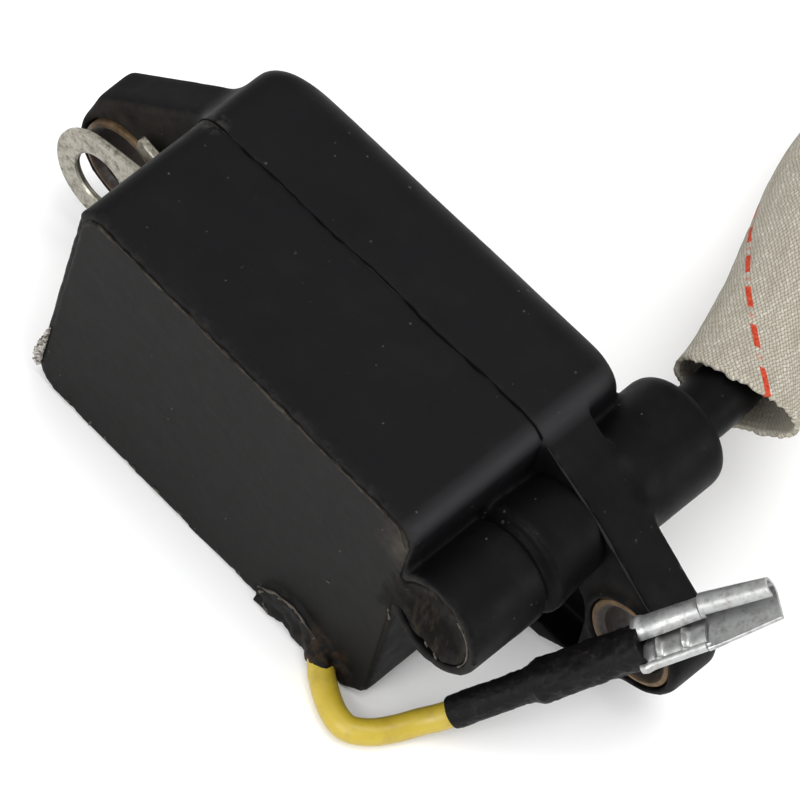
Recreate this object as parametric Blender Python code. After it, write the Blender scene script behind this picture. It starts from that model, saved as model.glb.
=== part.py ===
"""Ignition coil: a potted coil in a two-part moulded housing with two bushed ears, an HT lead in a
fibreglass sleeve with its plug boot, a yellow primary lead with its tab receptacle, and a ground lead.

Frame, in metres: the coil lies on its long flat side on z = 0. X runs along the box from the ground
ear (-X) to the HT ear (+X), Y from the potted mouth (-Y) to the back of the housing (+Y).
"""

import math

import bmesh
import bpy
from mathutils import Vector, geometry

# Housing
HOLE_X = 0.0383           # each mounting hole is this far from the middle
HOLE_Z = 0.0134
BOX_LEFT, BOX_RIGHT = -0.0308, 0.0209
BOX_HEIGHT = 0.0342
BOX_CORNER = 0.0028
MOUTH_Y = -0.0167         # potted mouth, at MOUTH_X; it slopes forward towards +X
MOUTH_SLOPE = -0.0357
MOUTH_X = -0.0295
SEAM_Y = 0.0013
BACK_Y = 0.0150
BACK_ROUND = 0.0050
TOWER_SIDE_ROUND = 0.3    # share of the back's rounding on the end beside the HT tube
CUP_WALL = 0.0016
SHELL_WALL = 0.0025
LIP_DEPTH = 0.0012        # potting that ran over the lower edge of the mouth
FIT = 0.00015             # clearance between two pieces that are cast or pressed together

# Ears
EAR_THICKNESS = 0.0065
EAR_RADIUS = 0.0068
BUSH_RADIUS = 0.0056
BUSH_BORE = 0.00425
BUSH_CHAMFER = 0.0007
POCKET_DEPTH = 0.0040     # of the hollow in the flange below the HT tube
POCKET_OUTLINE = [
    (0.0185, 0.0028), (0.0310, 0.0028), (0.0322, 0.0050), (0.0318, 0.0120), (0.0295, 0.0150), (0.0185, 0.0150),
]

# HT tube, which runs along Y beside the box
TUBE_X, TUBE_Z = 0.0260, 0.0228
TUBE_RADIUS = 0.0064
COLLAR_RADIUS = 0.0069
COLLAR_Y = -0.0063
TOWER_RADIUS = 0.00685
TOWER_END_Y = 0.0197
TUBE_WALL = 0.0012
PLUG_END_Y = -0.0122      # the potting fills the tube's mouth down to here
SEAL_DEPTH = 0.0030
SEAL_RADIUS = 0.0052

# Leads
HT_DIAMETER = 0.0070
SLEEVE_RADIUS, SLEEVE_WALL = 0.0068, 0.0006
YELLOW_DIAMETER = 0.0030
LINK_RADIUS = 0.0004

# Coil
COIL_X, COIL_Y, COIL_Z = -0.0050, 0.0008, 0.0171
COIL_LENGTH = 0.0340
LAMINATIONS, LAMINATION_THICKNESS, LAMINATION_PITCH = 6, 0.0012, 0.0013
CORE_LENGTH, CORE_HALF = 0.0444, 0.0038
SECTIONS, PARTITION = 6, 0.0009

# Ground tag, a ring of sheet metal in front of the ground ear, whose tongue enters the cup's wall
TAG_Y, TAG_SHEET = -0.00155, 0.0008
RING_X, RING_RADIUS, RING_HOLE = -0.0385, 0.0065, 0.0035
TONGUE_END_X, TONGUE_LOW, TONGUE_HIGH = -0.0274, 0.0122, 0.0217

# Routes, each a list of points that a smooth curve passes through
HT_ROUTE = [
    (0.0260, -0.0040, 0.0228), (0.0260, 0.0100, 0.0228), (0.0260, 0.0200, 0.0228),
    (0.0259, 0.0250, 0.0227), (0.0252, 0.0298, 0.0222), (0.0236, 0.0350, 0.0210),
    (0.0213, 0.0405, 0.0192), (0.0184, 0.0468, 0.0169), (0.0150, 0.0545, 0.0141),
    (0.0121, 0.0630, 0.0115), (0.0105, 0.0722, 0.0094), (0.0107, 0.0815, 0.0079),
    (0.0133, 0.0905, 0.0072), (0.0190, 0.0982, 0.0070), (0.0270, 0.1034, 0.0070),
    (0.0362, 0.1060, 0.0070), (0.0460, 0.1064, 0.0070), (0.0557, 0.1048, 0.0070),
    (0.0648, 0.1010, 0.0070), (0.0730, 0.0952, 0.0070), (0.0797, 0.0877, 0.0070),
    (0.0846, 0.0788, 0.0070), (0.0873, 0.0690, 0.0072), (0.0880, 0.0590, 0.0077),
    (0.0880, 0.0495, 0.0084), (0.0880, 0.0400, 0.0084),
]
SLEEVE_MOUTH = [(0.0270, 0.0272, 0.0224), (0.0252, 0.0313, 0.0212), (0.0233, 0.0357, 0.0200)]
SLEEVE_JOINS = 7          # the sleeve is centred on the lead from this point of its route on
SLEEVE_BARE_END = 0.0180  # length of the lead left bare in front of its boot
YELLOW_ROUTE = [
    (0.0157, -0.0201, 0.0017), (0.0177, -0.0215, 0.0016), (0.0201, -0.0227, 0.0016),
    (0.0225, -0.0230, 0.0016), (0.0245, -0.0215, 0.0017), (0.0260, -0.0192, 0.0019),
    (0.0273, -0.0170, 0.0026), (0.0288, -0.0152, 0.0038),
]
TERMINAL_START = Vector((0.0294, -0.0145, 0.0047))
TERMINAL_AIM = Vector((0.0152, 0.0161, 0.0200)).normalized()
SHRINK_LENGTH, CRIMP_LENGTH, RECEPTACLE_LENGTH = 0.0240, 0.0083, 0.0084
SHRINK_RADII = (0.0020, 0.0026)
CRIMP_RADIUS = 0.0025
RECEPTACLE_HALF_WIDTH, RECEPTACLE_HALF_HEIGHT = 0.0032, 0.0014

# Plug boot, which follows the HT lead's end along -Y
BOOT_X, BOOT_Z = 0.0880, 0.0084
BOOT_BACK, BOOT_FRONT = 0.0485, 0.0035
BOOT_RADIUS, BOOT_NECK = 0.0080, 0.0058
SOCKET_RADIUS, SOCKET_DEPTH = 0.0042, 0.0250


def clear_scene():
    for obj in list(bpy.data.objects):
        bpy.data.objects.remove(obj, do_unlink=True)


def material(name, colour, roughness, metallic=0.0):
    made = bpy.data.materials.new(name)
    made.use_nodes = True
    shader = made.node_tree.nodes["Principled BSDF"]
    shader.inputs["Base Color"].default_value = (*colour, 1.0)
    shader.inputs["Roughness"].default_value = roughness
    shader.inputs["Metallic"].default_value = metallic
    return made


def place(name, mesh_or_curve, finish, at=(0, 0, 0)):
    obj = bpy.data.objects.new(name, mesh_or_curve)
    obj.location = at
    mesh_or_curve.materials.append(finish)
    bpy.context.collection.objects.link(obj)
    return obj


def loft(name, loops, finish, ring=False, at=(0, 0, 0)):
    """A skin over loops of equal count. A ring closes on its first loop, so it has a hole through it."""
    mesh = bpy.data.meshes.new(name)
    bm = bmesh.new()
    rows = [[bm.verts.new(point) for point in loop] for loop in loops]
    pairs = list(zip(rows, rows[1:] + rows[:1])) if ring else list(zip(rows, rows[1:]))
    for first, second in pairs:
        for i in range(len(first)):
            j = (i + 1) % len(first)
            bm.faces.new((first[i], first[j], second[j], second[i]))
    if not ring:
        bm.faces.new(rows[0])
        bm.faces.new(rows[-1])
    bmesh.ops.recalc_face_normals(bm, faces=bm.faces)
    bm.to_mesh(mesh)
    bm.free()
    mesh.shade_smooth()
    mesh.set_sharp_from_angle(angle=math.radians(35))
    return place(name, mesh, finish, at)


def combine(target, operation, *tools):
    """Adds exact Boolean modifiers, one for each tool, and makes the tools helpers."""
    for tool in tools:
        modifier = target.modifiers.new(tool.name, "BOOLEAN")
        modifier.operation = operation
        modifier.solver = "EXACT"
        modifier.object = tool
        tool.hide_render = True
        tool.display_type = "WIRE"
    return target


def circle(radius, sides=40, centre=(0.0, 0.0)):
    turn = 2 * math.pi / sides
    return [
        (centre[0] + radius * math.cos(turn * i), centre[1] + radius * math.sin(turn * i))
        for i in range(sides)
    ]


def rounded_box(low, high, radius, steps=5):
    """Corner-rounded rectangle from low to high, as (x, z) points."""
    points = []
    corners = (
        (high[0] - radius, high[1] - radius, 0), (low[0] + radius, high[1] - radius, 1),
        (low[0] + radius, low[1] + radius, 2), (high[0] - radius, low[1] + radius, 3),
    )
    for centre_x, centre_z, quarter in corners:
        for i in range(steps + 1):
            angle = math.pi / 2 * (quarter + i / steps)
            points.append((centre_x + radius * math.cos(angle), centre_z + radius * math.sin(angle)))
    return points


def hull(points):
    return [points[i] for i in geometry.convex_hull_2d(points)]


def mouth_y(x):
    return MOUTH_Y + MOUTH_SLOPE * (x - MOUTH_X)


def at_y(outline, y):
    """The outline's (x, z) points on the plane y, or on the sloping mouth plus an offset."""
    if callable(y):
        return [(x, y(x), z) for x, z in outline]
    return [(x, y, z) for x, z in outline]


def prism(name, outline, start, end, finish):
    return loft(name, [at_y(outline, start), at_y(outline, end)], finish)


def cylinder_y(name, centre, radius, start, end, finish, sides=40):
    return prism(name, circle(radius, sides, centre), start, end, finish)


def turned(name, stations, bore, finish, at, sides=40):
    """A body of revolution about Y with a bore: stations are (y, radius) along the outside."""
    first, last = stations[0][0], stations[-1][0]
    loops = [at_y(circle(radius, sides), y) for y, radius in stations]
    loops += [at_y(circle(bore, sides), last), at_y(circle(bore, sides), first)]
    return loft(name, loops, finish, ring=True, at=at)


def frame_along_x(name, stations, bore, finish, corner=0.0006, at=(0, 0, 0)):
    """A square frame along X: stations are (x, half side), and bore is the half side of its hole."""
    def square(half, x):
        box = rounded_box((-half, -half), (half, half), corner, 3)
        return [(x, y, z) for y, z in box]
    loops = [square(half, x) for x, half in stations]
    loops += [square(bore, stations[-1][0]), square(bore, stations[0][0])]
    return loft(name, loops, finish, ring=True, at=at)


def smooth_points(route, spacing):
    """Points at about the spacing along a Catmull-Rom curve through the route."""
    points = [Vector(p) for p in route]
    ends = [2 * points[0] - points[1]] + points + [2 * points[-1] - points[-2]]
    fine = []
    for before, start, end, after in zip(ends, ends[1:], ends[2:], ends[3:]):
        for i in range(24):
            t = i / 24
            fine.append(0.5 * (
                2 * start + (end - before) * t
                + (2 * before - 5 * start + 4 * end - after) * t ** 2
                + (3 * start - before - 3 * end + after) * t ** 3
            ))
    fine.append(points[-1])
    travelled = [0.0]
    for first, second in zip(fine, fine[1:]):
        travelled.append(travelled[-1] + (second - first).length)
    count = max(2, round(travelled[-1] / spacing))
    kept = []
    for step in range(count + 1):
        goal = travelled[-1] * step / count
        i = min(max(1, sum(d < goal for d in travelled)), len(fine) - 1)
        share = (goal - travelled[i - 1]) / (travelled[i] - travelled[i - 1])
        kept.append(fine[i - 1].lerp(fine[i], share))
    return kept


def cord(name, points, diameter, finish, sides=2):
    curve = bpy.data.curves.new(name, "CURVE")
    curve.dimensions = "3D"
    curve.bevel_depth = diameter / 2
    curve.bevel_resolution = sides
    curve.use_fill_caps = True
    spline = curve.splines.new("POLY")
    spline.points.add(len(points) - 1)
    for target, point in zip(spline.points, points):
        target.co = (*point, 1.0)
    return place(name, curve, finish)


def loops_along(points, radius, sides=12):
    """Circles square to the path, kept from twisting by carrying the first side direction along."""
    side = Vector((0, 0, 1))
    loops = []
    for i, point in enumerate(points):
        ahead = points[min(i + 1, len(points) - 1)] - points[max(i - 1, 0)]
        ahead.normalize()
        side = (side - ahead * side.dot(ahead)).normalized()
        other = ahead.cross(side)
        loops.append([point + radius * (a * side + b * other) for a, b in circle(1.0, sides)])
    return loops


def make_materials():
    return {
        "housing": material("housing_black", (0.012, 0.012, 0.013), 0.45),
        "potting": material("potting_grey", (0.035, 0.034, 0.033), 0.6),
        "bush": material("rusty_steel", (0.18, 0.10, 0.05), 0.6, 0.6),
        "steel": material("lamination_steel", (0.35, 0.35, 0.36), 0.4, 0.9),
        "bobbin": material("bobbin_nylon", (0.55, 0.50, 0.38), 0.5),
        "copper": material("enamelled_copper", (0.55, 0.20, 0.07), 0.35, 0.8),
        "brass": material("brass", (0.65, 0.45, 0.18), 0.35, 0.9),
        "tin": material("tinned_metal", (0.55, 0.55, 0.52), 0.3, 0.9),
        "rubber": material("black_rubber", (0.015, 0.015, 0.016), 0.6),
        "sleeve": material("fibreglass_sleeve", (0.50, 0.46, 0.38), 0.85),
        "yellow": material("yellow_insulation", (0.62, 0.46, 0.05), 0.4),
        "shrink": material("heat_shrink", (0.020, 0.018, 0.020), 0.6),
    }


def box_outline(inset=0.0):
    return rounded_box(
        (BOX_LEFT + inset, inset), (BOX_RIGHT - inset, BOX_HEIGHT - inset),
        max(BOX_CORNER - inset, 0.001),
    )


def channel_outline(inset=0.0):
    return rounded_box(
        (BOX_RIGHT - 0.004, TUBE_Z - 0.0025 + inset), (TUBE_X, TUBE_Z + 0.0025 - inset), 0.0006, 2,
    )


def make_front_cup(finish):
    def ahead(x):
        return mouth_y(x) - 0.001

    bore = HT_DIAMETER / 2 + FIT
    tube = (TUBE_X, TUBE_Z)
    cup = prism("front_cup", box_outline(), mouth_y, SEAM_Y, finish["housing"])
    combine(
        cup, "UNION",
        cylinder_y("tube_solid", tube, TUBE_RADIUS, mouth_y, SEAM_Y, finish["housing"], 48),
        cylinder_y("collar_solid", tube, COLLAR_RADIUS, COLLAR_Y, SEAM_Y, finish["housing"], 48),
    )
    combine(
        cup, "DIFFERENCE",
        prism("cup_hollow", box_outline(CUP_WALL), ahead, SEAM_Y + 0.001, finish["housing"]),
        cylinder_y("tube_mouth", tube, TUBE_RADIUS - TUBE_WALL, ahead, PLUG_END_Y + 0.003, finish["housing"]),
        cylinder_y("tube_bore", tube, bore, PLUG_END_Y, SEAM_Y + 0.001, finish["housing"]),
        prism("tube_channel", channel_outline(), ahead, PLUG_END_Y + 0.003, finish["housing"]),
        tag_slot("cup_slot", finish),
    )
    return cup


def make_potting(finish):
    """The resin block: it fills the mouth, wraps the coil, and is open at the back."""
    tube = (TUBE_X, TUBE_Z)
    outline = box_outline(CUP_WALL + FIT)
    potting = prism("potting_compound", outline, mouth_y, SEAM_Y - 0.0003, finish["potting"])
    lip = rounded_box((0.0005, 0.0002), (0.0138, 0.0032), 0.0010, 3)

    def lip_front(x):
        return mouth_y(x) - LIP_DEPTH

    def lip_back(x):
        return mouth_y(x) - FIT

    def root_front(x):
        return mouth_y(x) - LIP_DEPTH / 2

    def root_back(x):
        return mouth_y(x) + 0.002

    root = rounded_box((0.0015, CUP_WALL + 0.0004), (0.0130, 0.0030), 0.0004, 2)
    combine(
        potting, "UNION",
        cylinder_y("plug_solid", tube, TUBE_RADIUS - TUBE_WALL - FIT, mouth_y, PLUG_END_Y, finish["potting"]),
        prism("channel_solid", channel_outline(FIT), mouth_y, PLUG_END_Y, finish["potting"]),
        prism("lip_solid", lip, lip_front, lip_back, finish["potting"]),
        prism("lip_root", root, root_front, root_back, finish["potting"]),
    )
    pocket = rounded_box((-0.0275, 0.0035), (0.0175, 0.0307), 0.0010, 2)
    notch = rounded_box((0.0165, TUBE_Z - 0.0015), (0.0205, TUBE_Z + 0.0015), 0.0003, 1)
    combine(
        potting, "DIFFERENCE",
        prism("coil_pocket", pocket, -0.0110, SEAM_Y + 0.001, finish["potting"]),
        prism("link_notch", notch, PLUG_END_Y + 0.0002, SEAM_Y + 0.001, finish["potting"]),
        tag_slot("potting_slot", finish),
    )
    return potting


def ear_outline(side):
    """The flange beside the box: round the bush, with straight edges to the box's corners."""
    edge = BOX_RIGHT if side > 0 else BOX_LEFT
    inner = edge - side * 0.0015
    points = circle(EAR_RADIUS, 48, (side * HOLE_X, HOLE_Z))
    points += [(inner, BOX_HEIGHT - 0.0006), (inner, 0.0006)]
    if side > 0:
        points.append((0.0275, 0.0006))
    else:
        points += circle(0.0030, 16, (-0.0420, 0.0172))
    return hull(points)


def make_rear_shell(finish):
    black = finish["housing"]
    arc = [math.pi / 2 * i / 6 for i in range(7)]
    loops = [at_y(box_outline(), SEAM_Y + 0.0001)]
    for angle in arc:
        inset = BACK_ROUND * (1 - math.cos(angle))
        depth = BACK_Y - BACK_ROUND + BACK_ROUND * math.sin(angle)
        outline = rounded_box(
            (BOX_LEFT + inset, inset), (BOX_RIGHT - inset * TOWER_SIDE_ROUND, BOX_HEIGHT - inset),
            BOX_CORNER + inset * 0.7,
        )
        loops.append(at_y(outline, depth))
    shell = loft("rear_shell", loops, black)
    ear_back = SEAM_Y + EAR_THICKNESS
    tube = (TUBE_X, TUBE_Z)
    for side, word in ((-1, "ground"), (1, "ht")):
        plate = prism(f"{word}_plate", ear_outline(side), SEAM_Y + 0.0001, ear_back, black)
        boss = cylinder_y(
            f"{word}_boss", (side * HOLE_X, HOLE_Z), EAR_RADIUS, SEAM_Y + 0.0001, ear_back, black, 48)
        if side > 0:
            pocket = prism("flange_pocket", POCKET_OUTLINE, SEAM_Y - 0.001, SEAM_Y + POCKET_DEPTH, black)
            combine(plate, "DIFFERENCE", pocket)
        combine(shell, "UNION", plate, boss)
    tower_round = 0.0016
    tower = [at_y(circle(TOWER_RADIUS + 0.0004, 48, tube), SEAM_Y + 0.0001)]
    tower.append(at_y(circle(TOWER_RADIUS + 0.0004, 48, tube), ear_back))
    tower.append(at_y(circle(TOWER_RADIUS, 48, tube), ear_back + 0.0002))
    for i in range(5):
        angle = math.pi / 2 * i / 4
        radius = TOWER_RADIUS - tower_round * (1 - math.cos(angle))
        depth = TOWER_END_Y - tower_round * (1 - math.sin(angle))
        tower.append(at_y(circle(radius, 48, tube), depth))
    combine(shell, "UNION", loft("tower_solid", tower, black))
    hollow = rounded_box(
        (BOX_LEFT + SHELL_WALL, SHELL_WALL), (BOX_RIGHT - SHELL_WALL, BOX_HEIGHT - SHELL_WALL), 0.002, 3)
    cuts = [
        prism("shell_hollow", hollow, SEAM_Y - 0.001, BACK_Y - SHELL_WALL, black),
        cylinder_y("tower_bore", tube, HT_DIAMETER / 2 + FIT, SEAM_Y - 0.001, TOWER_END_Y + 0.001, black),
        cylinder_y("seal_seat", tube, SEAL_RADIUS, TOWER_END_Y - SEAL_DEPTH, TOWER_END_Y + 0.001, black),
    ]
    for side, word in ((-1, "ground"), (1, "ht")):
        cuts.append(cylinder_y(
            f"{word}_hole", (side * HOLE_X, HOLE_Z), BUSH_RADIUS + FIT, SEAM_Y - 0.001, ear_back + 0.001, black))
    combine(shell, "DIFFERENCE", *cuts)
    return shell


def make_bush(name, side, finish):
    length = EAR_THICKNESS + 0.0002
    loops = [
        at_y(circle(BUSH_BORE + BUSH_CHAMFER), 0), at_y(circle(BUSH_RADIUS), 0),
        at_y(circle(BUSH_RADIUS), length), at_y(circle(BUSH_BORE), length),
        at_y(circle(BUSH_BORE), BUSH_CHAMFER),
    ]
    at = (side * HOLE_X, SEAM_Y - 0.0001, HOLE_Z)
    return loft(name, loops, finish["bush"], ring=True, at=at)


def make_coil(finish):
    centre = (COIL_X, COIL_Y, COIL_Z)
    for i in range(LAMINATIONS):
        offset = (i - (LAMINATIONS - 1) / 2) * LAMINATION_PITCH
        low, high = (-CORE_LENGTH / 2, -CORE_HALF), (CORE_LENGTH / 2, CORE_HALF)
        sheet = prism(
            f"core_lamination_{i + 1}", rounded_box(low, high, 0.0004, 2),
            -LAMINATION_THICKNESS / 2, LAMINATION_THICKNESS / 2, finish["steel"])
        sheet.location = (COIL_X, COIL_Y + offset, COIL_Z)
    end, flange = COIL_LENGTH / 2, 0.0012
    frame_along_x("primary_bobbin", [
        (-end, 0.0080), (-end + flange, 0.0080), (-end + flange, 0.0050),
        (end - flange, 0.0050), (end - flange, 0.0080), (end, 0.0080),
    ], 0.0041, finish["bobbin"], at=centre)
    frame_along_x("primary_winding", [
        (-end + 0.0015, 0.0070), (-end + 0.0019, 0.0074), (end - 0.0019, 0.0074), (end - 0.0015, 0.0070),
    ], 0.0052, finish["copper"], at=centre)
    pitch = (COIL_LENGTH - PARTITION) / SECTIONS
    stations = []
    for i in range(SECTIONS + 1):
        wall = -end + i * pitch
        if i > 0:
            stations.append((wall, 0.0089))
        stations += [(wall, 0.0106), (wall + PARTITION, 0.0106)]
        if i < SECTIONS:
            stations.append((wall + PARTITION, 0.0089))
    frame_along_x("secondary_bobbin", stations, 0.0082, finish["bobbin"], at=centre)
    for i in range(SECTIONS):
        start = -end + i * pitch + PARTITION + FIT
        stop = -end + (i + 1) * pitch - FIT
        frame_along_x(
            f"secondary_section_{i + 1}", [(start, 0.0101), (stop, 0.0101)], 0.00905,
            finish["copper"], at=centre)


def make_links(finish):
    """The inner connections: secondary to HT pin, primary to the yellow lead, core to ground."""
    end = COIL_X + COIL_LENGTH / 2
    ht = [
        (end + 0.0010, -0.0072, 0.0260), (end + 0.0030, -0.0090, 0.0245), (0.0170, -0.0105, TUBE_Z),
        (0.0210, -0.0108, TUBE_Z), (TUBE_X - 0.0018, -0.0108, TUBE_Z),
    ]
    cord("ht_link", smooth_points(ht, 0.0015), 2 * LINK_RADIUS, finish["copper"])
    primary = [
        (end + 0.0008, -0.0040, 0.0120), (end + 0.0025, -0.0070, 0.0090), (0.0155, -0.0095, 0.0065),
        (0.0155, -0.0105, 0.0050),
    ]
    cord("primary_link", smooth_points(primary, 0.0015), 2 * LINK_RADIUS, finish["copper"])
    start = COIL_X - COIL_LENGTH / 2
    ground = [
        (start - 0.0010, -0.0070, 0.0120), (start - 0.0025, -0.0075, 0.0140), (-0.0262, -0.0066, 0.0163),
        (-0.0268, -0.0040, 0.0178),
    ]
    cord("ground_link", smooth_points(ground, 0.0015), 2 * LINK_RADIUS, finish["copper"])
    loft("ht_pin", [
        at_y(circle(radius, 20), y)
        for y, radius in ((-0.0115, 0.0012), (-0.0068, 0.0012), (-0.0066, 0.0022), (-0.0045, 0.0022))
    ], finish["brass"], at=(TUBE_X, 0, TUBE_Z))


def make_ht_lead(finish):
    points = smooth_points(HT_ROUTE, 0.0140)
    cord("ht_lead", points, HT_DIAMETER, finish["rubber"], 3)
    turned(
        "lead_seal", [(0, SEAL_RADIUS - FIT), (SEAL_DEPTH - 0.0002, SEAL_RADIUS - FIT)],
        HT_DIAMETER / 2 + 0.0003, finish["rubber"], (TUBE_X, TOWER_END_Y - SEAL_DEPTH + 0.0002, TUBE_Z))
    spacing = 0.0080
    route = SLEEVE_MOUTH + HT_ROUTE[SLEEVE_JOINS:]
    path = smooth_points(route, spacing)[:-round(SLEEVE_BARE_END / spacing)]
    outer = loops_along(path, SLEEVE_RADIUS)
    inner = loops_along(path, SLEEVE_RADIUS - SLEEVE_WALL)
    loft("fibreglass_sleeve", outer + inner[::-1], finish["sleeve"], ring=True)


def make_boot(finish):
    length = BOOT_BACK - BOOT_FRONT
    profile = [
        (0, BOOT_RADIUS - 0.0006), (0.0006, BOOT_RADIUS), (0.0040, BOOT_RADIUS), (0.0046, BOOT_RADIUS - 0.0007),
        (0.0280, BOOT_RADIUS - 0.0010), (0.0330, BOOT_NECK + 0.0006), (length - 0.0006, BOOT_NECK),
        (length, BOOT_NECK - 0.0006),
    ]
    loops = [at_y(circle(radius), y) for y, radius in profile]
    bore = HT_DIAMETER / 2 + 0.0003
    inside = ((length, bore), (SOCKET_DEPTH + 0.0010, bore), (SOCKET_DEPTH, SOCKET_RADIUS), (0, SOCKET_RADIUS))
    loops += [at_y(circle(radius), y) for y, radius in inside]
    loft("plug_boot", loops, finish["rubber"], ring=True, at=(BOOT_X, BOOT_FRONT, BOOT_Z))
    turned(
        "plug_clip", [(0, 0.0039), (0.0090, 0.0039)], 0.0034, finish["brass"],
        (BOOT_X, BOOT_FRONT + SOCKET_DEPTH - 0.0095, BOOT_Z), 24)


def aimed(aim, side_hint):
    """Unit vectors across an aim: sideways, and square to both."""
    side = (side_hint - aim * side_hint.dot(aim)).normalized()
    return side, aim.cross(side)


def make_yellow_lead(finish):
    cord("yellow_lead", smooth_points(YELLOW_ROUTE, 0.0025), YELLOW_DIAMETER, finish["yellow"])
    side, up = aimed(TERMINAL_AIM, Vector((1, -1, 0)))

    def section(distance, width, height, corner):
        box = rounded_box((-width, -height), (width, height), corner, 3)
        centre = TERMINAL_START + TERMINAL_AIM * distance
        return [centre + side * a + up * b for a, b in box]

    thin, thick = SHRINK_RADII
    half = SHRINK_LENGTH * 0.45
    shrink = [(0, thin), (half, thin), (half + 0.0012, thick), (SHRINK_LENGTH, thick)]
    loft("heat_shrink", [section(d, r, r, r * 0.98) for d, r in shrink], finish["shrink"])
    start = SHRINK_LENGTH + 0.0003
    neck = start + CRIMP_LENGTH
    end = neck + RECEPTACLE_LENGTH
    crimp = CRIMP_RADIUS
    width, height = RECEPTACLE_HALF_WIDTH, RECEPTACLE_HALF_HEIGHT
    loft("tab_receptacle", [
        section(start, crimp, crimp, crimp * 0.9), section(neck, crimp, crimp, crimp * 0.9),
        section(neck + 0.0006, width, height, height * 0.9), section(end, width, height, height * 0.9),
    ], finish["tin"])


def tongue_outline(gap=0.0):
    return rounded_box(
        (RING_X + RING_RADIUS * 0.6, TONGUE_LOW - gap), (TONGUE_END_X + gap, TONGUE_HIGH + gap), 0.0005, 2)


def make_ground_tag(finish):
    """The ring and its tongue, in one sheet: the tongue widens towards the wall it enters."""
    back, front = TAG_Y + TAG_SHEET / 2, TAG_Y - TAG_SHEET / 2
    root = (BOX_LEFT - 0.0010, TONGUE_HIGH), (BOX_LEFT - 0.0010, TONGUE_LOW)
    outline = hull(circle(RING_RADIUS, 40, (RING_X, HOLE_Z)) + list(root))
    tag = prism("ground_tag", outline, front, back, finish["tin"])
    combine(tag, "UNION", prism("tongue_solid", tongue_outline(), front, back, finish["tin"]))
    hole = cylinder_y("ring_hole", (RING_X, HOLE_Z), RING_HOLE, front - 0.001, back + 0.001, finish["tin"])
    combine(tag, "DIFFERENCE", hole)


def tag_slot(name, finish):
    reach = TAG_SHEET / 2 + FIT
    return prism(name, tongue_outline(FIT), TAG_Y - reach, TAG_Y + reach, finish["tin"])


def main():
    clear_scene()
    finish = make_materials()
    make_front_cup(finish)
    make_rear_shell(finish)
    make_potting(finish)
    make_bush("ground_bush", -1, finish)
    make_bush("ht_bush", 1, finish)
    make_coil(finish)
    make_links(finish)
    make_ht_lead(finish)
    make_boot(finish)
    make_yellow_lead(finish)
    make_ground_tag(finish)


main()
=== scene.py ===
"""Looks of the ignition coil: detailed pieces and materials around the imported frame, in metres."""

import math

import bmesh
import bpy
import numpy as np
from mathutils import Matrix, Vector, geometry, noise


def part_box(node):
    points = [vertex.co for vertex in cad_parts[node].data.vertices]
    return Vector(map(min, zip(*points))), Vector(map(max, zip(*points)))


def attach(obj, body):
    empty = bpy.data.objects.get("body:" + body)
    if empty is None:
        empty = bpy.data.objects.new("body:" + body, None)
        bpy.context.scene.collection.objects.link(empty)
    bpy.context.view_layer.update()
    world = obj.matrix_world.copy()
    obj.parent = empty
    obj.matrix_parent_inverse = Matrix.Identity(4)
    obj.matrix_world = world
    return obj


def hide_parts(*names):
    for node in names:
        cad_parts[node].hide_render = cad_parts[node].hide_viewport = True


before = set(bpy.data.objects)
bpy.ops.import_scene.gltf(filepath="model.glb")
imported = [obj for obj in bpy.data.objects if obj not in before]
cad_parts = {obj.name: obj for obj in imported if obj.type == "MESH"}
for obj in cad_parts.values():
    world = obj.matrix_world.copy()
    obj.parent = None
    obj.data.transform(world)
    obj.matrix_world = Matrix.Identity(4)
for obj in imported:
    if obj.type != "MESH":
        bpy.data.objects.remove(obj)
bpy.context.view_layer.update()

MM = 0.001

# Places that the frame gives
CUP_LOW, CUP_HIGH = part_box("front_cup")
TOWER_END_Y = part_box("rear_shell")[1][1]
SEAL_LOW, SEAL_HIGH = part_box("lead_seal")
BOX_LEFT, BOX_HEIGHT, SEAM_Y = CUP_LOW[0], CUP_HIGH[2], CUP_HIGH[1]
TUBE_X, TUBE_Z = (SEAL_LOW[0] + SEAL_HIGH[0]) / 2, (SEAL_LOW[2] + SEAL_HIGH[2]) / 2
TUBE_CENTRE = (TUBE_X, TUBE_Z)


def middle(node):
    low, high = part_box(node)
    return (Vector(low) + Vector(high)) / 2


# Housing
BOX_RIGHT = 20.9 * MM
BOX_CORNER = 2.8 * MM
MOUTH_X, MOUTH_Y, MOUTH_SLOPE = -29.5 * MM, -16.7 * MM, -0.0357
BACK_Y, BACK_ROUND, TOWER_SIDE_ROUND = 15.0 * MM, 5.0 * MM, 0.3
CUP_WALL, SHELL_WALL = 1.6 * MM, 2.5 * MM
EAR_THICKNESS, EAR_RADIUS = 6.5 * MM, 6.8 * MM
BUSH_RADIUS, BUSH_BORE = 5.6 * MM, 4.25 * MM
TUBE_RADIUS, COLLAR_Y = 6.4 * MM, -6.3 * MM
TOWER_RADIUS, PLATE_TUBE_RADIUS = 6.85 * MM, 6.1 * MM
PLUG_END_Y = -12.2 * MM
# The torn lip below the resin, as (x, z) in millimetres
LIP_OUTLINE = [(4.4, 0.2), (4.7, 3.2), (7.0, 5.0), (9.6, 5.6), (12.0, 4.8), (13.9, 4.2), (14.6, 0.2)]
HT_RADIUS = 3.5 * MM
VOXEL, SHELL_VOXEL = 0.30 * MM, 0.35 * MM
SEAM_LAP = 0.45 * MM
TUBE_WALL = 1.2 * MM
# The gap round a piece that sits in a bore, and how far a cutting solid runs on past what it cuts
CLEARANCE, OVERRUN = 0.15 * MM, 1 * MM
ROUND_SIDES = 96
# The angle, in degrees, for a piece that is smooth all over
ALL_SMOOTH = 180

# Ground tag
TAG_Y, TAG_SHEET = -1.55 * MM, 0.8 * MM
RING_X, RING_RADIUS, RING_HOLE = -38.5 * MM, 6.5 * MM, 3.5 * MM

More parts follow.
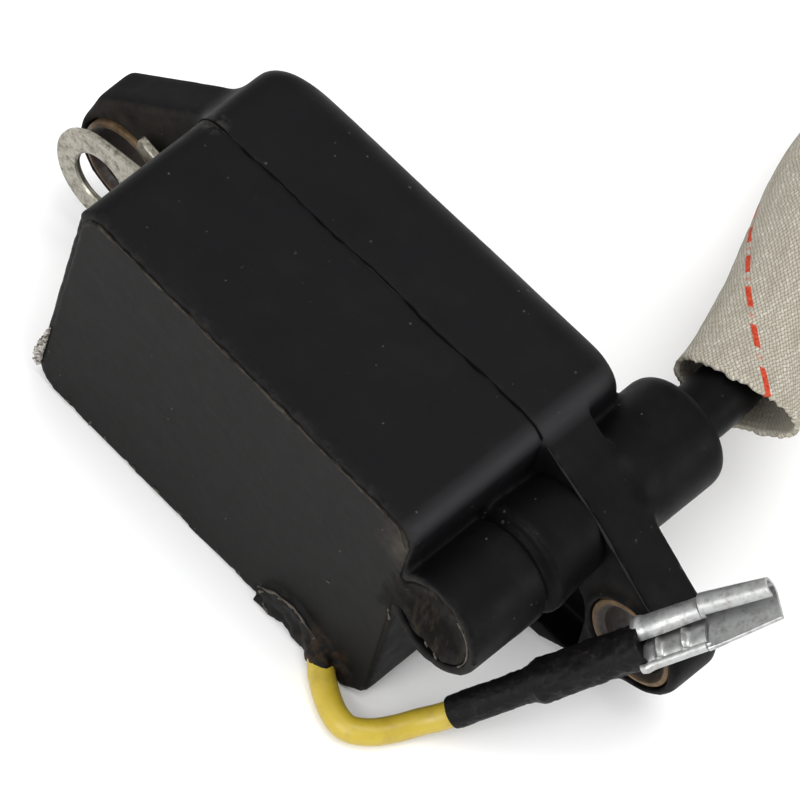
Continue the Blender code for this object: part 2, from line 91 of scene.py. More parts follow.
# Leads, whose routes are the CAD model's
HT_ROUTE = [
    (0.0260, -0.0040, 0.0228), (0.0260, 0.0100, 0.0228), (0.0260, 0.0200, 0.0228),
    (0.0259, 0.0250, 0.0227), (0.0252, 0.0298, 0.0222), (0.0236, 0.0350, 0.0210),
    (0.0213, 0.0405, 0.0192), (0.0184, 0.0468, 0.0169), (0.0150, 0.0545, 0.0141),
    (0.0121, 0.0630, 0.0115), (0.0105, 0.0722, 0.0094), (0.0107, 0.0815, 0.0079),
    (0.0133, 0.0905, 0.0072), (0.0190, 0.0982, 0.0070), (0.0270, 0.1034, 0.0070),
    (0.0362, 0.1060, 0.0070), (0.0460, 0.1064, 0.0070), (0.0557, 0.1048, 0.0070),
    (0.0648, 0.1010, 0.0070), (0.0730, 0.0952, 0.0070), (0.0797, 0.0877, 0.0070),
    (0.0846, 0.0788, 0.0070), (0.0873, 0.0690, 0.0072), (0.0880, 0.0590, 0.0077),
    (0.0880, 0.0495, 0.0084), (0.0880, 0.0400, 0.0084),
]
SLEEVE_MOUTH = [(0.0270, 0.0272, 0.0224), (0.0252, 0.0313, 0.0212), (0.0233, 0.0357, 0.0200)]
SLEEVE_JOINS, SLEEVE_SPACING = 7, 0.6 * MM
SLEEVE_BARE_END = 18.0 * MM
SLEEVE_RADIUS, SLEEVE_WALL = 6.8 * MM, 0.6 * MM
SLEEVE_FLAT, SLEEVE_FLAT_END, SLEEVE_WAIST_END = 4.8 * MM, 55.0 * MM, 32.0 * MM
SLEEVE_WIDENING, SLEEVE_WAIST = 0.3 * MM, 0.70 * MM
SLEEVE_SPREAD, SLEEVE_SPREAD_END = 0.4 * MM, 4 * MM
MOUTH_TILT, MOUTH_FLARE, MOUTH_SAG, MOUTH_FADE = math.radians(17), 1.2 * MM, 1.6 * MM, 12 * MM
YELLOW_ROUTE = [
    (0.0157, -0.0201, 0.0017), (0.0177, -0.0215, 0.0016), (0.0201, -0.0227, 0.0016),
    (0.0225, -0.0230, 0.0016), (0.0245, -0.0215, 0.0017), (0.0260, -0.0192, 0.0019),
    (0.0273, -0.0170, 0.0026), (0.0288, -0.0152, 0.0038),
]
TERMINAL_START = Vector((0.0294, -0.0145, 0.0047))
TERMINAL_AIM = Vector((0.0152, 0.0161, 0.0200)).normalized()
SHRINK_LENGTH = 24.0 * MM

# Camera
AIM_POINT = Vector((0.96, 4.5, 12.0)) * MM
AZIMUTH, ELEVATION, ROLL = math.radians(29.54), math.radians(57.4), math.radians(17.68)
LENS, CAMERA_DISTANCE = 1000.0, 2.3567
TO_CAMERA = Vector((
    math.sin(AZIMUTH) * math.cos(ELEVATION), -math.cos(AZIMUTH) * math.cos(ELEVATION), math.sin(ELEVATION)))


def linked(name, data):
    """A new object in the scene that holds the data."""
    obj = bpy.data.objects.new(name, data)
    bpy.context.collection.objects.link(obj)
    return obj


def make_camera():
    level_right = Vector((math.cos(AZIMUTH), math.sin(AZIMUTH), 0))
    level_up = TO_CAMERA.cross(level_right)
    right = level_right * math.cos(ROLL) + level_up * math.sin(ROLL)
    up = TO_CAMERA.cross(right)
    camera = linked("camera", bpy.data.cameras.new("camera"))
    camera.data.lens = LENS
    camera.data.clip_start, camera.data.clip_end = 0.01, 10.0
    turn = Matrix((right, up, TO_CAMERA)).transposed().to_4x4()
    camera.matrix_world = Matrix.Translation(AIM_POINT + TO_CAMERA * CAMERA_DISTANCE) @ turn
    bpy.context.scene.camera = camera


# ---- materials -------------------------------------------------------------------------------------


class Paint:
    """A Principled material laid in coats over a mottled ground, in object space.

    The sizes of patterns and spots are in millimetres, and positions along an axis are in metres.
    """

    def __init__(self, name, roughness=0.5, metallic=0.0, specular=0.5):
        self.material = bpy.data.materials.new(name)
        self.material.use_nodes = True
        self.tree = self.material.node_tree
        self.shader = self.tree.nodes["Principled BSDF"]
        self.shader.inputs["Roughness"].default_value = roughness
        self.shader.inputs["Metallic"].default_value = metallic
        self.shader.inputs["Specular IOR Level"].default_value = specular
        self.place = self.tree.nodes.new("ShaderNodeTexCoord").outputs["Object"]
        self.base = None

    def node(self, kind, sockets, output=0, **settings):
        made = self.tree.nodes.new(kind)
        for key, value in settings.items():
            setattr(made, key, value)
        for key, value in sockets.items():
            if isinstance(value, bpy.types.NodeSocket):
                self.tree.links.new(value, made.inputs[key])
            else:
                made.inputs[key].default_value = value
        return made.outputs[output]

    def noise(self, size, detail=2.0, rough=0.5, place=None):
        return self.node("ShaderNodeTexNoise", {
            "Vector": place or self.place, "Scale": 1 / (size * MM), "Detail": detail, "Roughness": rough})

    def cells(self, size, output="Distance"):
        return self.node("ShaderNodeTexVoronoi", {"Vector": self.place, "Scale": 1 / (size * MM)}, output)

    def ramp(self, value, start, end, low=0.0, high=1.0):
        return self.node("ShaderNodeMapRange", {0: value, 1: start, 2: end, 3: low, 4: high})

    def patches(self, size, start, end, detail=4, rough=0.6, low=0.0, high=1.0):
        return self.ramp(self.noise(size, detail, rough), start, end, low, high)

    def maths(self, operation, *values):
        return self.node("ShaderNodeMath", dict(enumerate(values)), operation=operation)

    def plus(self, first, second):
        return self.maths("ADD", first, second)

    def minus(self, first, second):
        return self.maths("SUBTRACT", first, second)

    def magnitude(self, value):
        return self.maths("ABSOLUTE", value)

    def times(self, *values):
        product = values[0]
        for value in values[1:]:
            product = self.maths("MULTIPLY", product, value)
        return product

    def distance(self, place, centre):
        return self.node("ShaderNodeVectorMath", {0: place, 1: centre}, "Value", operation="DISTANCE")

    def mix(self, share, first, second):
        def colour(value):
            return value if isinstance(value, bpy.types.NodeSocket) else (*value, 1.0)
        inputs = {0: share, 6: colour(first), 7: colour(second)}
        return self.node("ShaderNodeMix", inputs, 2, data_type="RGBA")

    def ground(self, share, first, second):
        self.base = self.mix(share, first, second)

    def coat(self, share, colour):
        self.base = self.mix(share, self.base, colour)

    def stretched(self, scale, turn=(0, 0, 0)):
        return self.node("ShaderNodeMapping", {"Vector": self.place, "Scale": scale, "Rotation": turn})

    def spot(self, centre, radius, soft=1.0):
        """1 inside a ball, fading to 0 over its radius, with a ragged edge."""
        reach = radius * MM
        ragged = self.maths("MULTIPLY_ADD", self.noise(radius * 0.5, 4, 0.6), reach * 1.2, -reach * 0.6)
        away = self.plus(self.distance(self.place, [c * MM for c in centre]), ragged)
        return self.ramp(away, reach, reach * (1 - soft))

    def axis(self, index, place=None):
        return self.node("ShaderNodeSeparateXYZ", {0: place or self.place}, index)

    def attribute(self, name):
        return self.node("ShaderNodeAttribute", {}, "Fac", attribute_name=name)

    def specks(self, size, radius, share):
        """Scattered dots: one in a share of the cells, radius as a part of the cell."""
        dots = self.ramp(self.cells(size), radius, radius * 0.6)
        chosen = self.ramp(self.axis(0, self.cells(size, "Color")), 1 - share, 1 - share + 0.02)
        return self.times(dots, chosen)

    def finish(self, roughness=None, bumps=(), metallic=None):
        """Links the coats and the bumps, which are (height, distance, strength) from the coarsest on."""
        links = {"Base Color": self.base, "Roughness": roughness, "Metallic": metallic}
        normal = None
        for height, distance, strength in bumps:
            sockets = {"Height": height, "Distance": distance * MM, "Strength": strength}
            if normal is not None:
                sockets["Normal"] = normal
            normal = self.node("ShaderNodeBump", sockets)
        links["Normal"] = normal
        for socket, value in links.items():
            if value is not None:
                self.tree.links.new(value, self.shader.inputs[socket])
        return self.material


def housing_material():
    """Black moulded plastic, matte, with dust, hazy rub marks and brown dirt about the ears, painted shade on
    the parts right of the box, a painted sheen on the top and a painted highlight along its top right edge.
    """
    p = Paint("moulded_black", specular=0.06)
    p.ground(p.noise(9, 3), (0.0028, 0.0028, 0.0033), (0.0046, 0.0046, 0.0053))
    # Painted shade: the tube, tower and ear plate right of the box are painted darker.
    p.coat(p.ramp(p.axis(0), BOX_RIGHT, BOX_RIGHT + 1 * MM, 0.0, 0.6), (0.0012, 0.0012, 0.0014))
    # Painted sheen: the top, from 30 mm up, is painted lighter in broad patches.
    on_top = p.times(p.ramp(p.axis(2), 30 * MM, BOX_HEIGHT), p.patches(7, 0.2, 0.7, low=0.45))
    p.coat(p.times(on_top, 0.75), (0.0068, 0.0068, 0.0074))
    p.coat(p.times(p.patches(6, 0.50, 0.75, 5, 0.62), 0.35), (0.0095, 0.0095, 0.0100))
    # Painted highlight: a soft light band along the rounded edge between the top and the right end wall.
    section = p.stretched((1, 0, 1))
    from_corner = p.distance(section, (BOX_RIGHT - 0.7 * MM, 0, BOX_HEIGHT - 0.8 * MM))
    p.coat(p.times(p.ramp(from_corner, 2.0 * MM, 0.5 * MM), 0.75), (0.0220, 0.0220, 0.0235))
    p.coat(p.times(p.attribute("rim"), p.patches(1.1, 0.30, 0.60, low=0.45)), (0.0082, 0.0079, 0.0074))
    worn = p.times(p.ramp(p.attribute("wear"), 0.30, 0.70), p.patches(1.4, 0.50, 0.66))
    p.coat(p.times(worn, 0.16), (0.040, 0.037, 0.032))
    dirt_and_shadow = p.times(p.spot((-34, 0.5, 21), 7), p.patches(2, 0.3, 0.6))
    p.coat(p.times(dirt_and_shadow, 0.45), (0.026, 0.022, 0.016))
    on_ear = p.ramp(p.axis(0), BOX_LEFT - 0.3 * MM, BOX_LEFT - 1.5 * MM)
    ear_face = p.times(on_ear, p.ramp(p.axis(1), SEAM_Y + 1.4 * MM, SEAM_Y + 1.0 * MM),
                       p.patches(1.5, 0.30, 0.65, 5, 0.65, 0.3))
    p.coat(p.times(ear_face, 0.7), (0.0210, 0.0180, 0.0140))
    boss = p.times(p.spot((36, 1.0, 16), 8), p.patches(1.5, 0.38, 0.62, 5, 0.65))
    p.coat(p.times(boss, 0.5), (0.0200, 0.0150, 0.0100))
    dust = p.maths("MAXIMUM", p.specks(2.4, 0.10, 0.24), p.specks(1.1, 0.15, 0.10))
    p.coat(p.times(dust, p.patches(0.45, 0.42, 0.62, 4, 0.7), 0.34), (0.17, 0.16, 0.145))
    p.coat(p.times(on_top, p.patches(1.3, 0.64, 0.76, 6, 0.75), 0.22), (0.060, 0.057, 0.052))
    off_ring = p.magnitude(p.minus(p.distance(section, (TUBE_X, 0, TUBE_Z)), 5.35 * MM))
    tower_rim = p.times(p.ramp(off_ring, 0.30 * MM, 0.10 * MM),
                        p.ramp(p.axis(1), TOWER_END_Y - 0.9 * MM, TOWER_END_Y - 0.5 * MM))
    p.coat(p.times(tower_rim, 0.9), (0.050, 0.050, 0.052))
    corner = p.times(p.spot((-29.0, 1.4, 33.4), 2.0), p.patches(0.7, 0.42, 0.58))
    p.coat(p.times(corner, 0.60), (0.060, 0.057, 0.050))
    rough = p.plus(p.patches(4, 0.3, 0.7, low=0.44, high=0.58), p.times(on_ear, 0.25))
    return p.finish(rough, [(p.noise(5, 2), 0.10, 0.4), (p.noise(0.32, 3, 0.6), 0.03, 0.55)])


def resin_material():
    """Dark grey epoxy, matte, pitted, with tan rub marks at its right corner, brown dirt at its lip and a
    painted shadow beside the lip.
    """
    p = Paint("epoxy_grey", specular=0.09)
    p.ground(p.noise(6, 5, 0.6), (0.0056, 0.0055, 0.0053), (0.0066, 0.0064, 0.0061))
    p.coat(p.times(p.specks(0.7, 0.24, 0.12), 0.7), (0.0040, 0.0040, 0.0040))
    p.coat(p.times(p.specks(2.1, 0.07, 0.10), 0.6), (0.10, 0.095, 0.085))
    edge = p.times(p.ramp(p.attribute("wear"), 0.15, 0.55), p.patches(1.2, 0.44, 0.64),
                   p.ramp(p.axis(2), 18 * MM, 26 * MM))
    rub = p.times(p.spot((20.0, -18.6, 30.8), 4.2), p.patches(0.8, 0.30, 0.60, 5, 0.7, 0.35))
    rub = p.maths("MAXIMUM", rub, p.times(edge, 0.7))
    p.coat(p.times(rub, 0.60), (0.058, 0.047, 0.035))
    lobe = p.spot((26, -18.7, 22), 7, 0.6)
    p.coat(p.times(lobe, 0.9), (0.0026, 0.0022, 0.0019))
    streak = p.noise(1.2, 4, 0.6, p.stretched((1.0, 1.0, 0.25)))
    p.coat(p.times(lobe, p.ramp(streak, 0.50, 0.66), 0.7), (0.024, 0.019, 0.013))
    # Painted shadow: the upper spot darkens the face beside the lip, where the lip casts shade; the lower
    # spot darkens the resin by the yellow lead's exit.
    dirt_and_shadow = p.maths("MAXIMUM", p.spot((12.8, -18.2, 6.6), 3.2), p.spot((16.5, -18.8, 2.5), 4.0))
    p.coat(p.times(dirt_and_shadow, 0.75), (0.0036, 0.0028, 0.0021))
    rust = p.times(p.spot((15, -20.0, 2.6), 4.5), p.patches(0.9, 0.40, 0.58, 4, 0.5))
    p.coat(p.times(rust, 0.75), (0.040, 0.023, 0.011))
    rough = p.plus(p.patches(3, 0.3, 0.7, low=0.57, high=0.62), p.times(lobe, 0.40))
    return p.finish(rough, [
        (p.times(lobe, streak), 0.35, 0.8), (p.noise(4, 3), 0.02, 0.1), (p.noise(0.30, 4, 0.7), 0.05, 0.8)])


def flake_material(name, light, specular):
    """Thin torn resin skin, tan-grey, also used for painted highlights along edges of the resin."""
    p = Paint(name, roughness=0.55, specular=specular)
    p.ground(p.patches(0.9, 0.35, 0.65, 4, 0.65), (0.016, 0.0135, 0.0105), light)
    return p.finish(None, [(p.noise(0.3, 4, 0.7), 0.05, 0.7)])


def fibre_material():
    """Frayed whitish glass fibre, darker in patches."""
    p = Paint("frayed_fibre", roughness=0.8, specular=0.2)
    p.ground(p.patches(0.5, 0.40, 0.56, 4, 0.7), (0.060, 0.050, 0.040), (0.42, 0.40, 0.37))
    return p.finish(None, [(p.noise(0.15, 3), 0.03, 0.6)])


def rust_material():
    """Plain steel with a thin brown bloom of rust, darkest at the bore's edge, where painted shade darkens
    the bore and the inner part of its chamfer.
    """
    p = Paint("rusty_steel")
    p.ground(p.patches(1.4, 0.35, 0.65, 5, 0.65), (0.052, 0.029, 0.013), (0.165, 0.098, 0.042))
    p.coat(p.patches(3.5, 0.55, 0.75, 3, 0.5), (0.200, 0.155, 0.095))
    # Painted shade: the bore and the inner part of its chamfer are painted near black, by the distance from
    # the hole's axis.
    hole = middle("ht_bush")
    from_hole = p.node("ShaderNodeCombineXYZ", {
        0: p.minus(p.magnitude(p.axis(0)), hole.x), 1: p.minus(p.axis(2), hole.z), 2: 0.0})
    radial = p.node("ShaderNodeVectorMath", {0: from_hole}, "Value", operation="LENGTH")
    p.coat(p.ramp(radial, BUSH_BORE + 0.95 * MM, BUSH_BORE + 0.45 * MM), (0.014, 0.0080, 0.0050))
    metal = p.patches(2.5, 0.45, 0.7, 4, 0.5, 0.0, 0.35)
    return p.finish(p.patches(0.8, 0.3, 0.7, 3, 0.5, 0.50, 0.75), [(p.noise(0.4, 5, 0.7), 0.05, 0.7)], metal)


def tin_material(name, bright, dull, roughness, metallic):
    """Tin plate with fine scratches along the sheet and brownish dull patches."""
    p = Paint(name, metallic=metallic)
    p.ground(p.patches(1.0, 0.46, 0.66, 6, 0.72), bright, dull)
    p.coat(p.times(p.patches(0.9, 0.56, 0.74, 4, 0.7), 0.45), (0.16, 0.12, 0.08))
    scratches = p.noise(0.5, 3, 0.6, p.stretched((0.15, 1.0, 1.0), (0.3, 0.2, 0.7)))
    rough = p.patches(1.1, 0.3, 0.7, low=roughness - 0.08, high=roughness + 0.12)
    return p.finish(rough, [(scratches, 0.02, 0.5), (p.noise(0.25, 3), 0.01, 0.5)])


def rubber_material(name, level, roughness, specular=0.10):
    """Black rubber or bare plastic of the given brightness, with a few specks of dust."""
    p = Paint(name, specular=specular)
    p.ground(p.noise(5, 4, 0.6), (level * 0.8, level * 0.8, level * 0.85),
             (level * 1.3, level * 1.3, level * 1.35))
    p.coat(p.times(p.specks(1.3, 0.10, 0.12), 0.2), (0.10, 0.095, 0.085))
    rough = p.patches(3, 0.3, 0.7, 4, 0.5, roughness - 0.08, roughness + 0.08)
    return p.finish(rough, [(p.noise(0.6, 4, 0.6), 0.03, 0.5)])


def sleeve_material():
    """Undyed glass-fibre braid with a dashed red tracer thread, and painted light on its inside near the
    mouth. UVs are metres around and along.
    """
    p = Paint("glass_fibre_braid", roughness=0.85, specular=0.15)
    uv = p.node("ShaderNodeUVMap", {}, uv_map="metres")
    around, along = p.axis(0, uv), p.axis(1, uv)
    drift = p.patches(1.6, 0.2, 0.8, 3, 0.5, -0.35, 0.35)
    leaning = p.times(along, YARN_LEAN)
    first = p.plus(p.maths("DIVIDE", p.plus(leaning, around), YARN_PITCH), drift)
    second = p.minus(p.maths("DIVIDE", p.minus(leaning, around), YARN_PITCH), drift)
    cell = p.plus(p.maths("FLOOR", first), p.maths("FLOOR", second))
    over = p.maths("GREATER_THAN", p.maths("FRACT", p.times(cell, 0.5)), 0.25)

    def round_of(value):
        return p.maths("SINE", p.times(p.maths("FRACT", value), math.pi))

    yarn = p.node("ShaderNodeMix", {0: over, 2: round_of(first), 3: round_of(second)}, data_type="FLOAT")
    tone = p.node("ShaderNodeTexWhiteNoise", {"Vector": p.node("ShaderNodeCombineXYZ", {
        0: p.maths("FLOOR", first), 1: p.maths("FLOOR", second), 2: 0.0})}, "Value", noise_dimensions="3D")
    p.ground(p.ramp(yarn, 0.15, 0.70), (0.175, 0.154, 0.116), (0.400, 0.374, 0.312))
    p.coat(p.times(p.ramp(tone, 0.55, 0.95), p.ramp(yarn, 0.3, 0.9), 0.45), (0.62, 0.59, 0.52))
    streaks = p.noise(1.5, 4, 0.6, p.node("ShaderNodeMapping", {"Vector": uv, "Scale": (1.0, 0.3, 1.0)}))
    p.coat(p.ramp(streaks, 0.45, 0.72, 0.0, 0.50), (0.205, 0.182, 0.135))
    # Painted light: the inside near the mouth, the layer cut, is painted lighter to stand for light falling
    # into the mouth.
    p.coat(p.times(p.attribute("cut"), 0.55), (0.620, 0.575, 0.480))
    bent = p.maths("MINIMUM", along, TRACER_STRAIGHT)
    centre = p.maths("MULTIPLY_ADD", p.maths("MULTIPLY_ADD", bent, TRACER[2], TRACER[1]), bent, TRACER[0])
    off_line = p.magnitude(p.minus(around, centre))
    stripe = p.ramp(p.plus(off_line, p.times(drift, 0.12 * MM)), 0.42 * MM, 0.32 * MM)
    beat = p.maths("FRACT", p.maths("DIVIDE", p.minus(along, TRACER_START), TRACER_DASH))
    long_dash = p.ramp(p.magnitude(p.minus(beat, 0.29)), 0.30, 0.26)
    dot = p.ramp(p.magnitude(p.minus(beat, 0.79)), 0.07, 0.04, 0.0, 0.35)
    red = p.mix(p.patches(0.4, 0.35, 0.65, 3, 0.5), (0.34, 0.028, 0.012), (0.52, 0.070, 0.030))
    p.coat(p.times(stripe, p.maths("MAXIMUM", long_dash, dot)), red)
    return p.finish(None, [(p.noise(3, 3), 0.12, 0.5), (yarn, 0.10, 0.7), (p.noise(0.2, 3), 0.03, 0.6)])


def yellow_material():
    """Slightly grimy yellow insulation."""
    p = Paint("yellow_insulation", roughness=0.35, specular=0.5)
    p.ground(p.noise(3, 4, 0.6), (0.370, 0.268, 0.019), (0.460, 0.345, 0.034))
    p.coat(p.times(p.patches(2.2, 0.50, 0.75), 0.40), (0.200, 0.140, 0.030))
    return p.finish(p.patches(1.5, 0.3, 0.7, 4, 0.5, 0.30, 0.48), [(p.noise(1.2, 3), 0.05, 0.4)])


def shrink_material():
    """Black heat-shrink tube, creased and scuffed."""
    p = Paint("shrunk_tube", specular=0.11)
    p.ground(p.noise(2.5, 5, 0.65), (0.0024, 0.0021, 0.0023), (0.0056, 0.0050, 0.0050))
    scuffs = p.ramp(p.noise(0.8, 6, 0.72, p.stretched((1, 1, 0.5))), 0.56, 0.68)
    p.coat(p.times(scuffs, 0.55), (0.026, 0.023, 0.021))
    return p.finish(p.patches(1.2, 0.3, 0.7, 4, 0.5, 0.42, 0.60), [
        (p.noise(1.3, 5, 0.65), 0.14, 0.8), (p.noise(0.3, 3), 0.04, 0.7)])


def copper_material():
    """Enamelled wire, wound close."""
    p = Paint("enamelled_copper", metallic=0.8)
    turns = p.node("ShaderNodeTexWave", {"Vector": p.place, "Scale": 900.0, "Distortion": 0.4, "Detail": 1.0},
                   "Fac", bands_direction="X")
    p.ground(turns, (0.30, 0.085, 0.025), (0.58, 0.22, 0.08))
    return p.finish(p.patches(1, 0.3, 0.7, 3, 0.5, 0.28, 0.42), [(turns, 0.05, 0.8)])


def metal_material(name, dark, light, roughness):
    p = Paint(name, metallic=1.0)
    p.ground(p.noise(2, 4, 0.6), dark, light)
    grain = p.noise(0.3, 3, 0.6, p.stretched((0.1, 1, 1)))
    return p.finish(p.ramp(grain, 0.3, 0.7, roughness - 0.06, roughness + 0.1), [(grain, 0.01, 0.5)])


def nylon_material():
    p = Paint("bobbin_nylon", specular=0.4)
    p.ground(p.noise(3, 3), (0.48, 0.43, 0.31), (0.58, 0.53, 0.41))
    return p.finish(p.patches(2, 0.3, 0.7, 3, 0.5, 0.42, 0.55), [(p.noise(0.4, 3), 0.02, 0.4)])


def floor_material():
    p = Paint("pale_floor", roughness=0.9, specular=0.1)
    p.ground(p.noise(60, 3), (0.94, 0.94, 0.94), (0.96, 0.96, 0.96))
    return p.finish(None, [(p.noise(1.5, 3), 0.02, 0.2)])


# ---- shapes ----------------------------------------------------------------------------------------


def rounded_box(low, high, radius, steps=10):
    """Corner-rounded rectangle from low to high, as (x, z) points."""
    points = []
    corners = (
        (high[0] - radius, high[1] - radius, 0), (low[0] + radius, high[1] - radius, 1),
        (low[0] + radius, low[1] + radius, 2), (high[0] - radius, low[1] + radius, 3),
    )
    for centre_x, centre_z, quarter in corners:
        for i in range(steps + 1):
            angle = math.pi / 2 * (quarter + i / steps)
            points.append((centre_x + radius * math.cos(angle), centre_z + radius * math.sin(angle)))
    return points


def circle(radius, centre=(0.0, 0.0), sides=ROUND_SIDES):
    turn = 2 * math.pi / sides
    return [(centre[0] + radius * math.cos(turn * i), centre[1] + radius * math.sin(turn * i))
            for i in range(sides)]


def hull(points):
    return [points[i] for i in geometry.convex_hull_2d(points)]


def at_y(outline, y):
    return [(x, y(x) if callable(y) else y, z) for x, z in outline]


def skin(name, loops, ring=False, uv=None):
    """A mesh over loops of equal count: capped, or with ring a hole through it."""
    bm = bmesh.new()
    rows = [[bm.verts.new(point) for point in loop] for loop in loops]
    layer = bm.loops.layers.uv.new("metres") if uv else None
    pairs = list(zip(range(len(rows)), list(range(1, len(rows))) + [0]))
    if not ring:
        pairs = pairs[:-1]
    for a, b in pairs:
        count = len(rows[a])
        for i in range(count):
            j = (i + 1) % count
            face = bm.faces.new((rows[a][i], rows[a][j], rows[b][j], rows[b][i]))
            if uv:
                corners = ((i, a), (i + 1, a), (i + 1, b), (i, b))
                for corner, (column, row) in zip(face.loops, corners):
                    corner[layer].uv = uv(column, row)
    if not ring:
        bm.faces.new(rows[0])
        bm.faces.new(rows[-1])
    bmesh.ops.recalc_face_normals(bm, faces=bm.faces)
    mesh = bpy.data.meshes.new(name)
    bm.to_mesh(mesh)
    bm.free()
    return linked(name, mesh)


def prism(name, outline, start, end):
    return skin(name, [at_y(outline, start), at_y(outline, end)])


def rod(name, centre, radius, start, end):
    return prism(name, circle(radius, centre), start, end)


def fused(name, adds, cuts, voxel=VOXEL):
    """One closed, evenly meshed body: the joined solids less the cutting ones."""
    join(adds)
    base = adds[0]
    remesh(base, voxel)
    for tool in cuts:
        modifier = base.modifiers.new(tool.name, "BOOLEAN")
        modifier.operation = "DIFFERENCE"
        modifier.solver = "MANIFOLD"
        modifier.object = tool
    remesh(base, voxel)
    graph = bpy.context.evaluated_depsgraph_get()
    mesh = bpy.data.meshes.new_from_object(base.evaluated_get(graph))
    for tool in [base] + cuts:
        bpy.data.objects.remove(tool, do_unlink=True)
    mesh.name = name
    return linked(name, mesh)


def remesh(obj, voxel):
    even = obj.modifiers.new("even", "REMESH")
    even.mode = "VOXEL"
    even.voxel_size = voxel


def coordinates(mesh, kind="vertices", key="co"):
    data = getattr(mesh, kind)
    values = np.empty(len(data) * 3, np.float32)
    data.foreach_get(key, values)
    return values.reshape(-1, 3).astype(np.float64)


def neighbour_mean(mesh):
    """A function that gives, for an array over the vertices, the mean of each vertex's neighbours."""
    ends = np.empty(len(mesh.edges) * 2, np.int32)
    mesh.edges.foreach_get("vertices", ends)
    ends = ends.reshape(-1, 2)
    count = np.bincount(ends.reshape(-1), minlength=len(mesh.vertices))

    def mean(values):
        columns = values.reshape(len(values), -1)
        total = np.stack([
            np.bincount(ends[:, 0], column[ends[:, 1]], len(values))
            + np.bincount(ends[:, 1], column[ends[:, 0]], len(values)) for column in columns.T], axis=1)
        return (total / count[:, None]).reshape(values.shape)

    return mean


def move_vertices(mesh, points):
    mesh.vertices.foreach_set("co", points.astype(np.float32).reshape(-1))
    mesh.update()


def relax(obj, rounds, keep=None):
    """Smooths the mesh by halves towards its neighbours, except where keep(points) is 1."""
    mesh = obj.data
    points = coordinates(mesh)
    mean = neighbour_mean(mesh)
    share = 0.5 * (1 - keep(points))[:, None] if keep else 0.5
    for _ in range(rounds):
        points += (mean(points) - points) * share
    move_vertices(mesh, points)


def add_layer(obj, name, values):
    """Stores one number a vertex, for the materials to read."""
    obj.data.attributes.new(name, "FLOAT", "POINT").data.foreach_set("value", np.asarray(values, np.float32))


def mark_wear(obj):
    """Writes how far each vertex stands out from its neighbours, 0 to 1, as the layer wear."""
    mesh = obj.data
    points, normals = coordinates(mesh), coordinates(mesh, "vertex_normals", "vector")
    mean = neighbour_mean(mesh)
    outward = ((points - mean(points)) * normals).sum(axis=1) / VOXEL
    add_layer(obj, "wear", np.clip(mean(mean(outward)) * 9, 0, 1))


def push(obj, offset):
    """Moves each vertex by offset(point, normal), a vector or a distance along the normal."""
    mesh = obj.data
    points, normals = coordinates(mesh), coordinates(mesh, "vertex_normals", "vector")
    for i in range(len(points)):
        moved = offset(Vector(points[i]), Vector(normals[i]))
        if moved:
            points[i] += moved if isinstance(moved, Vector) else normals[i] * moved
    move_vertices(mesh, points)


def clad(obj, material, nodes=(), angle=40):
    """Finishes a piece: its material, smooth shading, the body it rides on and the nodes it stands for."""
    obj.data.materials.clear()
    obj.data.materials.append(material)
    if obj.type == "MESH":
        obj.data.shade_smooth()
        if angle < ALL_SMOOTH:
            obj.data.set_sharp_from_angle(angle=math.radians(angle))
    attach(obj, "root")
    if nodes:
        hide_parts(*nodes)
    return obj


def smooth_points(route, spacing):
    """Points at about the spacing along a Catmull-Rom curve through the route."""
    points = [Vector(p) for p in route]
    ends = [2 * points[0] - points[1]] + points + [2 * points[-1] - points[-2]]
    fine = []
    for before, start, end, after in zip(ends, ends[1:], ends[2:], ends[3:]):
        for i in range(24):
            t = i / 24
            fine.append(0.5 * (
                2 * start + (end - before) * t
                + (2 * before - 5 * start + 4 * end - after) * t ** 2
                + (3 * start - before - 3 * end + after) * t ** 3
            ))
    fine.append(points[-1])
    travelled = [0.0]
    for first, second in zip(fine, fine[1:]):
        travelled.append(travelled[-1] + (second - first).length)
    count = max(2, round(travelled[-1] / spacing))
    kept = []
    for step in range(count + 1):
        goal = travelled[-1] * step / count
        i = min(max(1, int(np.searchsorted(travelled, goal))), len(fine) - 1)
        share = (goal - travelled[i - 1]) / (travelled[i] - travelled[i - 1])
        kept.append(fine[i - 1].lerp(fine[i], share))
    return kept


def heading(points, i):
    """The direction of the path at its point i."""
    return (points[min(i + 1, len(points) - 1)] - points[max(i - 1, 0)]).normalized()


def sides_along(points):
    """For each point, the two directions square to the path, carried along it without twisting."""
    side = Vector((0, 0, 1))
    pairs = []
    for i in range(len(points)):
        ahead = heading(points, i)
        side = (side - ahead * side.dot(ahead)).normalized()
        pairs.append((side.copy(), ahead.cross(side)))
    return pairs


def tube_curve(name, points, radius, sides=8):
    curve = bpy.data.curves.new(name, "CURVE")
    curve.dimensions = "3D"
    curve.bevel_depth = radius
    curve.bevel_resolution = sides
    curve.use_fill_caps = True
    spline = curve.splines.new("POLY")
    spline.points.add(len(points) - 1)
    for target, point in zip(spline.points, points):
        target.co = (*point, 1.0)
    return linked(name, curve)


# ---- leads -----------------------------------------------------------------------------------------

YARN_PITCH, YARN_LEAN = 0.50 * MM, 0.55
# The tracer's place around the sleeve, as a polynomial of the distance along it
TRACER = (1.32 * MM, -0.553, 4.66)
TRACER_STRAIGHT = 40.0 * MM
TRACER_START, TRACER_DASH = 2.9 * MM, 5.6 * MM


def make_ht_lead(paints):
    points = smooth_points(HT_ROUTE, 1.5 * MM)
    lead = tube_curve("ht_cable", points, HT_RADIUS)
    clad(lead, paints["lead"], ["ht_lead"])
    sleeve = make_sleeve(paints)
    boot = make_boot(paints)


def sleeve_path():
    path = smooth_points(SLEEVE_MOUTH + HT_ROUTE[SLEEVE_JOINS:], SLEEVE_SPACING)
    return path[:len(path) - round(SLEEVE_BARE_END / SLEEVE_SPACING)]


